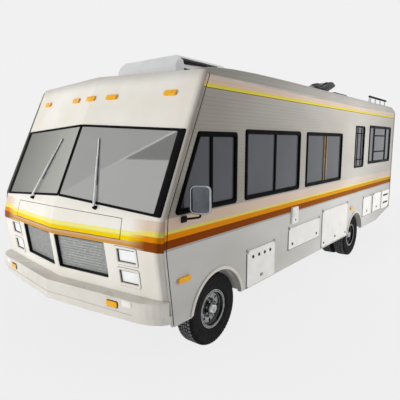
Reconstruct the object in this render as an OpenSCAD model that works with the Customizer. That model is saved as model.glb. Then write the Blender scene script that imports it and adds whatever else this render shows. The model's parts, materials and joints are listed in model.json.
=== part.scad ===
// Class A camper truck: a ladder frame with a hollow coach body, hinged hatches and door,
// steered front wheels and twin rear wheels. Millimetres, front towards -Y, left side towards +X.
// Lengthwise places are measured from the front axle, or from the rear axle where a table says so.

/* [Coach body] */
// Width over the side walls
body_w = 2560; // [2520:10:2600]
// Height of the roof's crown
roof_z = 2575; // [2560:5:2620]
// Height where the side walls end and the roof's corner starts
eave_z = 2480; // [2460:5:2490]
// Radius of the roof's corner
eave_r = 70; // [60:5:90]
// Lower edge of the skirt
skirt_z = 416; // [404:1:420]
// Lower edge of the skirt at the tail
tail_z = 561; // [530:1:600]
// Thickness of the side walls, roof and rear wall
wall_t = 40; // [30:1:44]
// Distance from the rear axle to the rear wall's face
tail_face = 2275; // [2240:5:2285]
// Radius of the rear wall's corners
tail_r = 110; // [90:5:130]

/* [Front cap] */
// Thickness of the moulded front cap
cap_t = 35; // [28:1:40]
// Sweep of each half of the front, in degrees
front_sweep = 7.4; // [6:0.1:9]
// Rake of the windscreen, in degrees
screen_rake = 24.4; // [23:0.1:26]
// Radius of the front corners seen from above
cap_corner_r = 60; // [50:5:80]
// Height of the fold under the windscreen
cowl_z = 1345; // [1335:1:1350]
// Distance of that fold ahead of the front axle
cowl_y = 872; // [860:1:880]
// Lower edge of the cap above the bumper
chin_z = 640; // [630:1:660]

/* [Chassis] */
// Distance between the axles
wheelbase = 3920; // [3900:10:4100]
// Bumper's nose ahead of the front axle
front_overhang = 1000; // [990:5:1020]
// Rear bumper behind the rear axle
rear_overhang = 2380; // [2370:5:2420]
// Height of the floor's upper face
floor_z = 640; // [630:1:650]
// Thickness of the floor
floor_t = 40; // [30:1:50]
// Height of the cab floor's upper face
cab_floor_z = 800; // [795:1:830]
// Distance from the middle to each frame rail's inner face
rail_x = 390; // [380:1:400]
// Width of a frame rail
rail_w = 80; // [70:1:90]
// Height of a frame rail
rail_h = 120; // [100:1:130]

/* [Wheels] */
// Outer radius of the tyres
tyre_r = 350; // [340:1:352]
// Width of a tyre
tyre_w = 190; // [180:1:194]
// Radius of the rim's bead seat
seat_r = 175; // [170:1:180]
// Distance from the middle to the outer wheels' planes
track_half = 1135; // [1125:1:1137]
// Distance between the planes of twin wheels
twin_gap = 230; // [225:1:240]
// Radius of the front spindles
spindle_r = 28; // [24:1:32]
// Radius of the rear spindles
rear_spindle_r = 35; // [30:1:40]
// Radius of the kingpins
kingpin_r = 18; // [15:1:20]
// Distance from a kingpin to its wheel's plane
kingpin_offset = 60; // [58:1:64]
// Radial clearance of every shaft in its bore
running_gap = 0.05; // [0.02:0.01:0.1]

/* [Hatches and door] */
// Thickness of a hatch's lip over the wall
lip_t = 10; // [8:1:12]
// Overlap of the lip past the opening
lip_over = 12; // [10:1:16]
// Depth of a hatch's inner tray
tray_t = 26; // [20:1:32]
// Gap round a hatch's tray and round the door
leaf_gap = 8; // [6:1:10]
// Radius of the hinge barrels
barrel_r = 7; // [6:0.5:7.5]
// Radius of the hinge pins
pin_r = 3; // [2.5:0.1:4]
// Depth of the lockers
locker_d = 400; // [360:10:420]
// Front edge of the entry door
door_front = 660; // [655:1:680]
// Rear edge of the entry door
door_rear = 1290; // [1250:5:1330]
// Lower edge of the entry door
door_low = 450; // [448:1:460]
// Upper edge of the entry door
door_high = 2230; // [2200:5:2300]

/* [Mounts] */
// Radius of the tow eyes' holes
tow_eye_r = 15; // [12:1:18]
// Outer width of the hitch receiver
receiver_w = 64; // [60:1:70]
// Wall of the hitch receiver
receiver_t = 6.5; // [5:0.5:7]
// Radius of the hitch pin's hole
hitch_pin_r = 8; // [7:0.5:9]

/* [Hidden] */
$fn = 48;

half_w = body_w / 2;
inner_w = half_w - wall_t;
deck_z = floor_z - floor_t;
rail_z = deck_z - rail_h;
rail_mid = rail_x + rail_w / 2;
rear_seam = wheelbase + tail_face - 85;
rear_face = wheelbase + tail_face;
tail_end = wheelbase + rear_overhang;
far = 4000;
cut = 20;

// Front profile on the middle line, from low to high: height, distance from the front axle
NOSE = [[440, -839], [chin_z, -868], [1085, -930], [1150, -925], [cowl_z, -cowl_y],
    [2700, (2700 - cowl_z) * tan(screen_rake) - cowl_y]];
// Seam between the front cap and the side wall, from low to high: distance from the front axle, height
SEAM = [[-620, 380], [-706, 1063], [-680, 1357], [-158, eave_z], [-62, 2700]];
// Plan angles of the facets that turn each front corner
CORNER_ANGLES = [for (k = [0 : 5]) front_sweep + k * (90 - front_sweep) / 5];

// Wheel arches: distance from the front axle, height of the centre, radius, inner end of the liner
front_arch_r = tyre_r + 42;
rear_arch_r = tyre_r + 14;
ARCHES = [[0, tyre_r + 5, front_arch_r, track_half - 335],
    [wheelbase, tyre_r + 25, rear_arch_r, track_half - twin_gap - tyre_w / 2 - 35]];
liner_t = 8;
arch_lip_w = 30;
arch_lip_t = 12;
// Cab floor, kept above the front arches
cab_board_t = 35;
cab_z = max(cab_floor_z, ARCHES[0][1] + front_arch_r + liner_t + cab_board_t + 10);
// Places between the axles stretch with the wheelbase
bay = wheelbase / 3920;

// Side windows: front edge, rear edge, lower edge, upper edge, lean of the front edge, upright bars
CAB_WINDOW = [-612, 283, 1352, 2022, 306, [0.32]];
FRONT_SIDE_WINDOW = [425 * bay, 1670 * bay, 1356, 2053, 0, [0.5]];
MIDDLE_SIDE_WINDOW = [1846 * bay, 3116 * bay, 1360, 2051, 0, [0.5]];
NARROW_WINDOW = [wheelbase - 210, wheelbase + 258, 1506, 2182, 0, []];
BERTH_WINDOW = [wheelbase + 527, wheelbase + 1942, 1540, 2210, 0, [0.22, 0.76]];
WINDOWS_LEFT = [CAB_WINDOW, FRONT_SIDE_WINDOW, MIDDLE_SIDE_WINDOW, NARROW_WINDOW, BERTH_WINDOW];
WINDOWS_RIGHT = [CAB_WINDOW, MIDDLE_SIDE_WINDOW, BERTH_WINDOW];
REAR_WINDOW = [-500, 500, 1500, 2100, 0, []];
DOOR_WINDOW = [door_front + 100, door_rear - 100, 1400, 2040, 0, []];
window_r = 32;
// Corner radius of the hole a window frame sits in, and of the frame's inner edge
hole_r = 20;
bead_r = 12;
frame_lap = 20;
frame_w = 38;
frame_proud = 8;
glass_set = 8;
glass_t = 6;

// Hatches by the outline of the lip: front edge, rear edge, lower edge, upper edge
HATCHES_LEFT = [[front_arch_r + 98, 1075 * bay, 426, 815], [1425 * bay, 2358 * bay, 631, 892],
    [2466 * bay, wheelbase - rear_arch_r - 66, 440, 960],
    [wheelbase + rear_arch_r + 21, wheelbase + 845, 615, 946], [wheelbase + 975, wheelbase + 1480, 617, 953]];
HATCHES_RIGHT = [[1900 * bay, 2900 * bay, 440, 900]];
VENT_PANEL = [wheelbase + 1580, wheelbase + 2116, 600, 946];
UTILITY_BOX = [1472 * bay, 1636 * bay, 948, 1148];
hatch_r = 24;
locker_t = 18;
knuckle_l = 30;
pin_l = 25;

// Windscreen pane: inner edge, outer edge, upper corners inside and outside, lower corners
SCREEN = [20, half_w - 88, 2090, 2030, 1356, 1440];
screen_r = 30;
gasket_w = 24;
// Extra width of the gasket on the outer uprights: on the cap, on the glass
gasket_post = [30, 25];

// Openings in the front: inner edge, outer edge, lower edge, upper edge
GRILLE = [36, 672, 757, 1084];
LAMPS = [[802, 1017, 734, 872], [802, 1017, 925, 1062]];
// Service panel under the windscreen, from its lower right corner
SERVICE_PANEL = [[-855, 1137], [855, 1137], [840, 1302], [0, 1328], [-840, 1302]];
panel_t = 18;
panel_gap = 4;

// Corner points of a window or hatch outline
function outline(w) = [[w[0], w[2]], [w[1], w[2]], [w[1], w[3]], [w[0] + (len(w) > 4 ? w[4] : 0), w[3]]];
function unit(v) = v / norm(v);
function wrap(list, i) = list[(i + len(list)) % len(list)];
// Outward normal of the edge that starts at corner i of an outline that turns to the left
function edge_normal(pts, i) = let (d = unit(wrap(pts, i + 1) - wrap(pts, i))) [d[1], -d[0]];
// Outline moved outwards by d on every side
function grown(pts, d) = [for (i = [0 : len(pts) - 1])
    let (a = edge_normal(pts, i - 1), b = edge_normal(pts, i)) pts[i] + (a + b) * d / (1 + a * b)];
// Outline with every corner turned into an arc of radius r
function rounded(pts, r, steps = 6) = [for (i = [0 : len(pts) - 1])
    let (u = unit(wrap(pts, i - 1) - pts[i]), v = unit(wrap(pts, i + 1) - pts[i]),
        half = acos(u * v) / 2, turn = 180 - 2 * half,
        centre = pts[i] + unit(u + v) * r / sin(half),
        from = pts[i] + u * r / tan(half) - centre, to = pts[i] + v * r / tan(half) - centre)
    for (k = [0 : steps]) centre
        + (from * sin(turn * (1 - k / steps)) + to * sin(turn * k / steps)) / sin(turn)];
// Half of the body's cross section moved inwards by t, from the eave to the crown
function eave(t) = [for (k = [0 : 6]) [half_w - eave_r + (eave_r - t) * cos(15 * k),
    eave_z + (eave_r - t) * sin(15 * k)]];
function section(t) = concat([[half_w - t, 0]], eave(t), [[0, roof_z - t]],
    [for (k = [6 : -1 : 0]) [-eave(t)[k][0], eave(t)[k][1]]], [[t - half_w, 0]]);
// Distance of the seam from the front axle at height z
function seam_y(z) = lookup(z, [for (p = SEAM) [p[1], p[0]]]);

// Everything is placed so that the origin is under the middle of the whole coach
module coach() {
    translate([0, front_overhang - (front_overhang + tail_end) / 2, 0]) children();
}

// Flat shape in lengthwise and upright coordinates, from x0 to x1 across the coach
module across(x0, x1) {
    translate([x0, 0, 0]) rotate([90, 0, 90]) linear_extrude(x1 - x0) children();
}

// Flat shape in sideways and upright coordinates, from y0 to y1 along the coach
module along(y0, y1) {
    translate([0, y1, 0]) rotate([90, 0, 0]) linear_extrude(y1 - y0) children();
}

// Box given by its two ends on each axis
module block(x, y, z) {
    translate([x[0], y[0], z[0]]) cube([x[1] - x[0], y[1] - y[0], z[1] - z[0]]);
}

module both_sides() {
    children();
    mirror([1, 0, 0]) children();
}

// Round bar between two points
module bar(a, b, r) {
    d = b - a;
    translate(a) rotate([0, acos(d[2] / norm(d)), atan2(d[1], d[0])]) cylinder(r = r, h = norm(d));
}

// Half space behind one facet of the front, moved inwards by t
module nose_facet(a, t) {
    corner_y = (cap_corner_r + sin(front_sweep) * (half_w - cap_corner_r)) / cos(front_sweep);
    shift = cos(a) * corner_y - sin(a) * (half_w - cap_corner_r) - cap_corner_r + t;
    rotate([0, 0, a]) across(-far, far) polygon(concat(
        [for (p = NOSE) [cos(a) * p[1] + shift, p[0]]], [[far, 2700], [far, NOSE[0][0]]]));
}

// Solid of the whole front, moved inwards by t
module nose(t) {
    intersection() {
        intersection_for (a = CORNER_ANGLES) nose_facet(a, t);
        intersection_for (a = CORNER_ANGLES) mirror([1, 0, 0]) nose_facet(a, t);
    }
}

// The two swept planes of the front alone, between insets t0 and t1
module front_layer(t0, t1) {
    difference() {
        intersection() {
            nose_facet(front_sweep, t0);
            mirror([1, 0, 0]) nose_facet(front_sweep, t0);
        }
        intersection() {
            nose_facet(front_sweep, t1);
            mirror([1, 0, 0]) nose_facet(front_sweep, t1);
        }
    }
}

// Straight prism through the front, on both sides of the middle
module front_cut(pts) {
    both_sides() along(-front_overhang - cut, -cut) polygon(pts);
}

// Body solid of the roof's cross section moved inwards by t
module body_prism(t, y0, y1) {
    along(y0, y1) polygon(section(t));
}

module seam_front() {
    across(-far, far) polygon(concat([[-far, SEAM[0][1]]], SEAM, [[-far, 2700]]));
}

function screen_outline(wide = 0) = [[SCREEN[0], SCREEN[5]], [SCREEN[1] + wide, SCREEN[4]],
    [SCREEN[1] + wide, SCREEN[3]], [SCREEN[0], SCREEN[2]]];
function rectangle(r) = [[r[0], r[2]], [r[1], r[2]], [r[1], r[3]], [r[0], r[3]]];

grille_r = 15;
lamp_r = 20;
chin_x = 130;

module front_cap() {
    color("antiquewhite") coach() difference() {
        intersection() {
            nose(0);
            body_prism(0, -front_overhang, 0);
            seam_front();
        }
        intersection() {
            nose(cap_t);
            body_prism(cap_t, -front_overhang, cut);
        }
        block([chin_x - half_w, half_w - chin_x], [-front_overhang, 0], [0, chin_z]);
        block([-half_w, half_w], [-front_overhang, 0], [0, skirt_z + 40]);
        front_cut(rounded(screen_outline(), screen_r));
        front_cut(rounded(rectangle(GRILLE), grille_r));
        for (lamp = LAMPS) {
            front_cut(rounded(rectangle(lamp), lamp_r));
        }
        service_prism(panel_gap);
    }
}

// Service panel's block in the front, wider by d on every side
module service_prism(d) {
    intersection() {
        front_layer(d == 0 ? 0 : -cut, panel_t);
        along(-front_overhang - cut, -cut) polygon(rounded(grown(SERVICE_PANEL, d), 12 + d));
    }
}

module windscreen() {
    color("dimgray") coach() intersection() {
        front_layer(glass_set, glass_set + glass_t);
        front_cut(rounded(grown(screen_outline(), -3), screen_r - 3));
    }
}

module windscreen_gasket() {
    color("black") coach() difference() {
        union() {
            intersection() {
                front_layer(-frame_proud, 0);
                front_cut(rounded(grown(screen_outline(gasket_post[0]), gasket_w / 2),
                    screen_r + gasket_w / 2));
            }
            intersection() {
                front_layer(0, glass_set);
                front_cut(rounded(grown(screen_outline(), -1), screen_r - 1));
            }
        }
        front_cut(rounded(grown(screen_outline(-gasket_post[1]), -gasket_w / 2), screen_r - gasket_w / 2));
    }
}

module service_panel() {
    color("antiquewhite") coach() service_prism(0);
}

// Ring behind the cap that holds a piece in the opening pts, and the piece itself from t0 to t1
module front_insert(pts, r, t0, t1, ring) {
    intersection() {
        front_layer(t0, t1);
        front_cut(rounded(grown(pts, -1), r - 1));
    }
    intersection() {
        front_layer(cap_t, cap_t + 6);
        front_cut(rounded(grown(pts, ring), r + ring));
    }
}

// Two recessed boxes behind the front, each closed by a panel of upright slots
module grille() {
    depth = 95;
    wall = 7;
    back_t = 14;
    columns = 13;
    rows = 3;
    rail = 12;
    field = grown(rectangle(GRILLE), -wall - rail);
    column_w = (field[1][0] - field[0][0] + rail) / columns;
    row_h = (field[2][1] - field[1][1] + rail) / rows;
    color("black") coach() difference() {
        front_insert(rectangle(GRILLE), grille_r, 4, depth, 15);
        intersection() {
            front_layer(-cut, depth - back_t);
            front_cut(rounded(grown(rectangle(GRILLE), -wall), grille_r - wall));
        }
        for (i = [0 : columns - 1], k = [0 : rows - 1]) {
            front_cut(rectangle([field[0][0] + i * column_w, field[0][0] + (i + 1) * column_w - rail,
                field[0][1] + k * row_h, field[0][1] + (k + 1) * row_h - rail]));
        }
    }
}

module headlamps() {
    color("whitesmoke") coach() for (lamp = LAMPS) {
        front_insert(rectangle(lamp), lamp_r, 14, cap_t + 6, 10);
    }
}

// Amber lamps: size, height and distances from the middle on the cap, then on the bumper
CAP_LAMPS = [125, 46, 2357, [286, 965]];
BUMPER_LAMPS = [116, 48, 592, 826];
// Lower edge of the side marker lamp over the rear wheel
lamp_low = ARCHES[1][1] + rear_arch_r + 93;
// Side marker lamps: front edge, rear edge, lower edge, upper edge
SIDE_LAMPS = [[-580, -420, 778, 822], [wheelbase - 290, wheelbase - 170, lamp_low, lamp_low + 40]];

function lamp_box(x, w, h, z) = [x - w / 2, x + w / 2, z - h / 2, z + h / 2];

module marker_lamps() {
    lamp_t = 22;
    color("orange") coach() {
        intersection() {
            front_layer(-lamp_t, 0);
            union() {
                for (x = CAP_LAMPS[3]) {
                    front_cut(rounded(rectangle(lamp_box(x, CAP_LAMPS[0], CAP_LAMPS[1], CAP_LAMPS[2])), 14));
                }
                along(-front_overhang, 0) polygon(rounded(
                    rectangle(lamp_box(0, CAP_LAMPS[0], CAP_LAMPS[1], CAP_LAMPS[2])), 14));
            }
        }
        both_sides() {
            for (lamp = SIDE_LAMPS) {
                across(half_w, half_w + lamp_t) polygon(rounded(rectangle(lamp), 18));
            }
            intersection() {
                linear_extrude(roof_z) polygon(bumper_band(-front_overhang - 10, -front_overhang));
                translate([0, -far / 2, 0]) along(0, far) polygon(rounded(
                    rectangle(lamp_box(BUMPER_LAMPS[3], BUMPER_LAMPS[0], BUMPER_LAMPS[1],
                        BUMPER_LAMPS[2])), 8));
            }
        }
    }
}

module side_openings(windows, hatches) {
    for (w = windows) {
        across(inner_w - cut, half_w + cut)
            polygon(rounded(grown(outline(w), -frame_lap), hole_r));
    }
    for (h = hatches) {
        across(inner_w - cut, half_w + cut)
            polygon(rounded(grown(outline(h), -lip_over), hatch_r - lip_over));
    }
    for (a = ARCHES) {
        translate([inner_w - cut, a[0], a[1]]) rotate([0, 90, 0]) cylinder(r = a[2], h = wall_t + 2 * cut);
    }
}

// One side wall at +X, cut for its windows, hatches and wheels
module side_wall(windows, hatches) {
    difference() {
        across(inner_w, half_w) polygon(concat(
            [[seam_y(skirt_z), skirt_z], [wheelbase + 1275, skirt_z], [wheelbase + 2138, tail_z]],
            [[rear_seam, tail_z], [rear_seam, eave_z]],
            [for (k = [3 : -1 : 1]) SEAM[k]]));
        side_openings(windows, hatches);
    }
}

// Joints between the lower panels of the left wall: half way between hatches, and before the rear wheel
PANEL_JOINTS = [(HATCHES_LEFT[0][1] + HATCHES_LEFT[1][0]) / 2, (HATCHES_LEFT[1][1] + HATCHES_LEFT[2][0]) / 2,
    (HATCHES_LEFT[2][1] + wheelbase - rear_arch_r) / 2, (HATCHES_LEFT[3][1] + HATCHES_LEFT[4][0]) / 2];
// Height of the joint between the upper and the lower panels, under the stripes
belt_z = 1150;

module wall_left() {
    color("wheat") coach() difference() {
        side_wall(WINDOWS_LEFT, HATCHES_LEFT);
        for (y = PANEL_JOINTS) {
            block([inner_w - cut, half_w + cut], [y - board_gap / 2, y + board_gap / 2], [0, belt_z]);
        }
        block([inner_w - cut, half_w + cut], [-front_overhang, rear_face],
            [belt_z - board_gap / 2, belt_z + board_gap / 2]);
    }
}

function door_outline() = [[door_front, door_low], [door_rear, door_low], [door_rear, door_high],
    [door_front, door_high]];

module wall_right() {
    color("wheat") coach() mirror([1, 0, 0]) difference() {
        side_wall(WINDOWS_RIGHT, HATCHES_RIGHT);
        across(inner_w - cut, half_w + cut) polygon(rounded(door_outline(), 40));
    }
}

// Solid of the tail moved inwards by t
module tail_solid(t, y0) {
    intersection() {
        body_prism(t, y0, rear_face);
        linear_extrude(roof_z) polygon(rounded(rectangle(
            [t - half_w, half_w - t, 0, rear_face - t]), tail_r - t));
        across(-half_w, half_w)
            polygon(rounded(rectangle([0, rear_face - t, 0, roof_z + cut - t]), tail_r - t));
    }
}

module rear_wall() {
    color("wheat") coach() difference() {
        tail_solid(0, rear_seam);
        tail_solid(wall_t, rear_seam - cut);
        block([-half_w, half_w], [0, tail_end], [0, tail_z]);
        block([-rail_x - rail_w - 40, rail_x + rail_w + 40], [0, tail_end], [0, floor_z]);
        along(rear_face - wall_t - cut, rear_face + cut)
            polygon(rounded(grown(outline(REAR_WINDOW), -frame_lap), hole_r));
    }
}

module roof_panel() {
    color("lightgray") coach() difference() {
        intersection() {
            body_prism(0, -front_overhang, rear_seam);
            block([-half_w, half_w], [-front_overhang, rear_seam], [eave_z, roof_z]);
        }
        body_prism(wall_t, -front_overhang - cut, rear_seam + cut);
        seam_front();
    }
}

// Frame of one window on a wall whose face is at x0: a lap on the wall, a sleeve and its bars
module window_frame(w, x0) {
    pts = outline(w);
    difference() {
        union() {
            across(x0, x0 + frame_proud) polygon(rounded(pts, window_r));
            across(x0 - glass_set, x0) polygon(rounded(grown(pts, -frame_lap - 1), hole_r - 1));
        }
        across(x0 - glass_set - cut, x0 + frame_proud + cut)
            polygon(rounded(grown(pts, -frame_w), bead_r));
    }
    for (b = w[5]) {
        y = w[0] + w[4] + b * (w[1] - w[0] - w[4]);
        block([x0 - glass_set, x0 + 4], [y - 16, y + 16], [w[2] + frame_w - 2, w[3] - frame_w + 2]);
    }
}

module window_pane(w, x0) {
    across(x0 - glass_set - glass_t, x0 - glass_set)
        polygon(rounded(grown(outline(w), -frame_lap - 3), hole_r - 3));
}

// Turns a piece made at +X so that it faces the rear
module on_rear_wall() {
    translate([0, rear_face - half_w, 0]) rotate([0, 0, 90]) mirror([0, 1, 0]) children();
}

module window_frames() {
    color("black") coach() {
        for (w = WINDOWS_LEFT) {
            window_frame(w, half_w);
        }
        mirror([1, 0, 0]) for (w = WINDOWS_RIGHT) {
            window_frame(w, half_w);
        }
        on_rear_wall() window_frame(REAR_WINDOW, half_w);
    }
}

module window_glass() {
    color("dimgray") coach() {
        for (w = WINDOWS_LEFT) {
            window_pane(w, half_w);
        }
        mirror([1, 0, 0]) for (w = WINDOWS_RIGHT) {
            window_pane(w, half_w);
        }
        on_rear_wall() window_pane(REAR_WINDOW, half_w);
    }
}

// Hinge line of a hatch: across, upright
function hatch_axis(h) = [half_w + lip_t, h[3]];

// One hatch lid at +X: lip, inner tray and hinge barrel with a bore at each end
module hatch(h) {
    axis = hatch_axis(h);
    difference() {
        union() {
            across(half_w, half_w + lip_t) polygon(rounded(outline(h), hatch_r));
            across(half_w - tray_t, half_w) polygon(rounded(grown(outline(h), -lip_over - leaf_gap), 4));
            translate([axis[0], h[0] + hatch_r, axis[1]]) rotate([-90, 0, 0])
                cylinder(r = barrel_r, h = h[1] - h[0] - 2 * hatch_r);
        }
        for (y = [h[0] + hatch_r - 1, h[1] - hatch_r - pin_l - 2]) {
            translate([axis[0], y, axis[1]]) rotate([-90, 0, 0])
                cylinder(r = pin_r + running_gap, h = pin_l + 3);
        }
        for (y = [h[0] - cut, h[1] - hatch_r]) {
            block([half_w - 1, half_w + lip_t + cut], [y, y + hatch_r + cut],
                [axis[1] - hatch_r, axis[1] + cut]);
        }
    }
}

// Wall side of a hatch's hinge: a leaf, a knuckle and a pin at each end
module hatch_hinges(h) {
    axis = hatch_axis(h);
    for (end = [0, 1]) {
        y = end == 0 ? h[0] + hatch_r - 0.5 - knuckle_l : h[1] - hatch_r + 0.5;
        pin_y = end == 0 ? y + knuckle_l - 1 : y - pin_l + 1;
        translate([axis[0], y, axis[1]]) rotate([-90, 0, 0]) cylinder(r = barrel_r, h = knuckle_l);
        translate([axis[0], pin_y, axis[1]]) rotate([-90, 0, 0]) cylinder(r = pin_r, h = pin_l);
        block([half_w, axis[0]], [y, y + knuckle_l], [axis[1], axis[1] + 24]);
    }
}

module hatch_left(i) {
    color("white") coach() hatch(HATCHES_LEFT[i]);
}

module hatch_right(i) {
    color("white") coach() mirror([1, 0, 0]) hatch(HATCHES_RIGHT[i]);
}

door_hinge_z = [620, 1320, 2020];
door_barrel_l = 60;
door_axis_x = half_w + barrel_r + 1;

// Entry door, made at +X and then mirrored to the right side
module entry_door() {
    axis_y = door_front + leaf_gap;
    color("white") coach() mirror([1, 0, 0]) difference() {
        union() {
            across(inner_w, half_w) polygon(rounded(grown(door_outline(), -leaf_gap), 32));
            for (z = door_hinge_z) {
                translate([door_axis_x, axis_y, z]) cylinder(r = barrel_r, h = door_barrel_l);
                block([half_w, door_axis_x], [axis_y, axis_y + 50], [z, z + door_barrel_l]);
            }
            block([half_w, half_w + 30], [door_rear - 80, door_rear - 60], [1150, 1290]);
            window_frame(DOOR_WINDOW, half_w);
        }
        across(inner_w - cut, half_w - glass_set)
            polygon(rounded(grown(outline(DOOR_WINDOW), -frame_lap), hole_r));
        across(inner_w - cut, half_w + cut)
            polygon(rounded(grown(outline(DOOR_WINDOW), -frame_w), bead_r));
        for (z = door_hinge_z) {
            translate([door_axis_x, axis_y, z - 1])
                cylinder(r = pin_r + running_gap, h = door_barrel_l + 2);
        }
    }
}

module entry_door_glass() {
    color("dimgray") coach() mirror([1, 0, 0]) window_pane(DOOR_WINDOW, half_w);
}

module wall_hinges() {
    axis_y = door_front + leaf_gap;
    color("silver") coach() {
        for (h = HATCHES_LEFT) {
            hatch_hinges(h);
        }
        mirror([1, 0, 0]) {
            for (h = HATCHES_RIGHT) {
                hatch_hinges(h);
            }
            for (z = door_hinge_z) {
                translate([door_axis_x, axis_y, z - knuckle_l - 0.5])
                    cylinder(r = pin_r, h = door_barrel_l + 2 * knuckle_l + 1);
                for (low = [z - knuckle_l - 0.5, z + door_barrel_l + 0.5]) {
                    translate([door_axis_x, axis_y, low]) cylinder(r = barrel_r, h = knuckle_l);
                    block([half_w, door_axis_x], [axis_y - 58, axis_y], [low, low + knuckle_l]);
                }
            }
        }
    }
}

module side_fittings() {
    color("white") coach() {
        across(half_w, half_w + 26) polygon(rounded(rectangle(UTILITY_BOX), 14));
        difference() {
            across(half_w, half_w + lip_t) polygon(rounded(rectangle(VENT_PANEL), hatch_r));
            for (z = [VENT_PANEL[2] + 90, VENT_PANEL[2] + 240]) {
                across(half_w + 3, half_w + lip_t + cut) polygon(rounded(
                    rectangle([VENT_PANEL[0] + 90, VENT_PANEL[1] - 90, z, z + 36]), 12));
            }
        }
    }
}

// The five boards of one locker behind a hatch at +X: back, floor and top, two ends
module locker(h) {
    o = grown(outline(h), -lip_over);
    back = inner_w - locker_d;
    ends = [o[0][0], o[1][0]];
    heights = [o[0][1], o[2][1]];
    block([back - locker_t, back - board_gap], [ends[0] - locker_t, ends[1] + locker_t],
        [heights[0] - locker_t, heights[1] + locker_t]);
    for (z = [heights[0] - locker_t, heights[1]]) {
        block([back, inner_w], [ends[0] - locker_t, ends[1] + locker_t], [z, z + locker_t]);
    }
    for (y = [ends[0] - locker_t, ends[1]]) {
        block([back, inner_w], [y, y + locker_t], [heights[0] + board_gap, heights[1] - board_gap]);
    }
}

module lockers() {
    color("gray") coach() {
        for (h = HATCHES_LEFT) {
            locker(h);
        }
        mirror([1, 0, 0]) for (h = HATCHES_RIGHT) {
            locker(h);
        }
    }
}

// Cylinder round a wheel at +X from x0 to x1
module arch_round(a, r, x0, x1) {
    translate([x0, a[0], a[1]]) rotate([0, 90, 0]) cylinder(r = r, h = x1 - x0, $fn = 96);
}

module arch_liners() {
    color("antiquewhite") coach() both_sides() for (a = ARCHES) {
        difference() {
            union() {
                arch_round(a, a[2] + liner_t, a[3], inner_w);
                arch_round(a, a[2] + arch_lip_w, half_w, half_w + arch_lip_t);
            }
            arch_round(a, a[2], a[3] + liner_t, half_w + cut);
            block([0, half_w + cut], [a[0] - far, a[0] + far], [-far, skirt_z + 20]);
        }
    }
}

// Step behind the entry door: depth, wall
step_d = 380;
step_t = 12;
board_gap = 1;
cab_front = -640;
riser_t = 28;
floor_start = door_front - step_t;

function sorted(v) = len(v) < 2 ? v : let (rest = [for (i = [1 : len(v) - 1]) v[i]])
    concat(sorted([for (x = rest) if (x < v[0]) x]), [v[0]], sorted([for (x = rest) if (x >= v[0]) x]));
// Lengthwise ends of the locker behind a hatch
function locker_ends(h) = [h[0] + lip_over - locker_t, h[1] - lip_over + locker_t];
// Half length of the rear arch at the floor's underside
function arch_reach() = sqrt(pow(rear_arch_r + liner_t, 2) - pow(deck_z - ARCHES[1][1], 2)) + board_gap;
function inside(y, ends) = y > ends[0] && y < ends[1];
// How far the floor reaches sideways at y, past the lockers of one side and the rear arches
function floor_reach(y, hatches) = let (locker = [for (h = hatches) if (inside(y, locker_ends(h))) h])
    len(locker) > 0 ? inner_w - locker_d - locker_t
    : abs(y - wheelbase) < arch_reach() ? ARCHES[1][3] - board_gap : inner_w;
step_ends = [floor_start, door_rear + step_t];
floor_edges = sorted([for (ends = concat([for (h = concat(HATCHES_LEFT, HATCHES_RIGHT)) locker_ends(h)],
    [[wheelbase - arch_reach(), wheelbase + arch_reach()], step_ends, [floor_start, rear_seam]]))
    for (y = ends) if (y >= floor_start && y <= rear_seam) y]);

// Floor boards side by side along the coach, and the raised cab floor
module floor_deck() {
    color("gray") coach() {
        for (i = [0 : len(floor_edges) - 2]) {
            y = [floor_edges[i], floor_edges[i + 1] - board_gap];
            mid = (y[0] + y[1]) / 2;
            if (y[1] > y[0] + board_gap) {
                block([inside(mid, step_ends) ? step_d - inner_w : -floor_reach(mid, HATCHES_RIGHT),
                    floor_reach(mid, HATCHES_LEFT)], y, [deck_z, floor_z]);
            }
        }
        block([-inner_w, inner_w], [cab_front, locker_ends(HATCHES_LEFT[0])[0]],
            [cab_z - cab_board_t, cab_z]);
        block([-inner_w, inner_w - locker_d - locker_t],
            [locker_ends(HATCHES_LEFT[0])[0] + board_gap, floor_start], [cab_z - cab_board_t, cab_z]);
        block([-inner_w, inner_w - locker_d - locker_t], [floor_start - riser_t, floor_start - board_gap],
            [deck_z, cab_z - cab_board_t - board_gap]);
    }
}

// Step inside the entry door: a tray open to the door and to the cabin
module stepwell() {
    color("gray") coach() difference() {
        block([-inner_w, step_d - inner_w], step_ends, [door_low - step_t, floor_z]);
        block([-inner_w - cut, step_d - inner_w - step_t], [door_front, door_rear],
            [door_low, floor_z + cut]);
    }
}

module frame_rails() {
    rail_ends = [-front_overhang + 100, tail_end - 90];
    cross_y = [-820, 1300 * bay, 2300 * bay, 3200 * bay, wheelbase + 640, wheelbase + 1900];
    cross_w = 60;
    web_t = 8;
    eye_t = 16;
    eye_l = 80;
    color("dimgray") coach() {
        both_sides() {
            difference() {
                block([rail_x, rail_x + rail_w], rail_ends, [rail_z, deck_z]);
                block([rail_x - cut, rail_x + rail_w - web_t], [rail_ends[0] - cut, rail_ends[1] + cut],
                    [rail_z + web_t, deck_z - web_t]);
            }
            block([rail_x, rail_x + rail_w], [cab_front, floor_start - riser_t - board_gap],
                [deck_z, cab_z - cab_board_t]);
            difference() {
                block([rail_mid - eye_t / 2, rail_mid + eye_t / 2], [rail_ends[1] - eye_l, rail_ends[1]],
                    [rail_z - eye_l, rail_z]);
                translate([0, rail_ends[1] - eye_l / 2, rail_z - eye_l / 2 - 2]) rotate([0, 90, 0])
                    cylinder(r = tow_eye_r, h = far);
            }
        }
        for (y = cross_y) {
            block([web_t - rail_x - rail_w, rail_x + rail_w - web_t], [y - cross_w / 2, y + cross_w / 2],
                [rail_z + 20, rail_z + 90]);
        }
    }
}

// Front bumper: end of the straight face, outer end, how far the end is turned back
bumper_bend = 1040;
bumper_end = half_w + 20;
bumper_wrap = 150;
bumper_t = 8;
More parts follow.
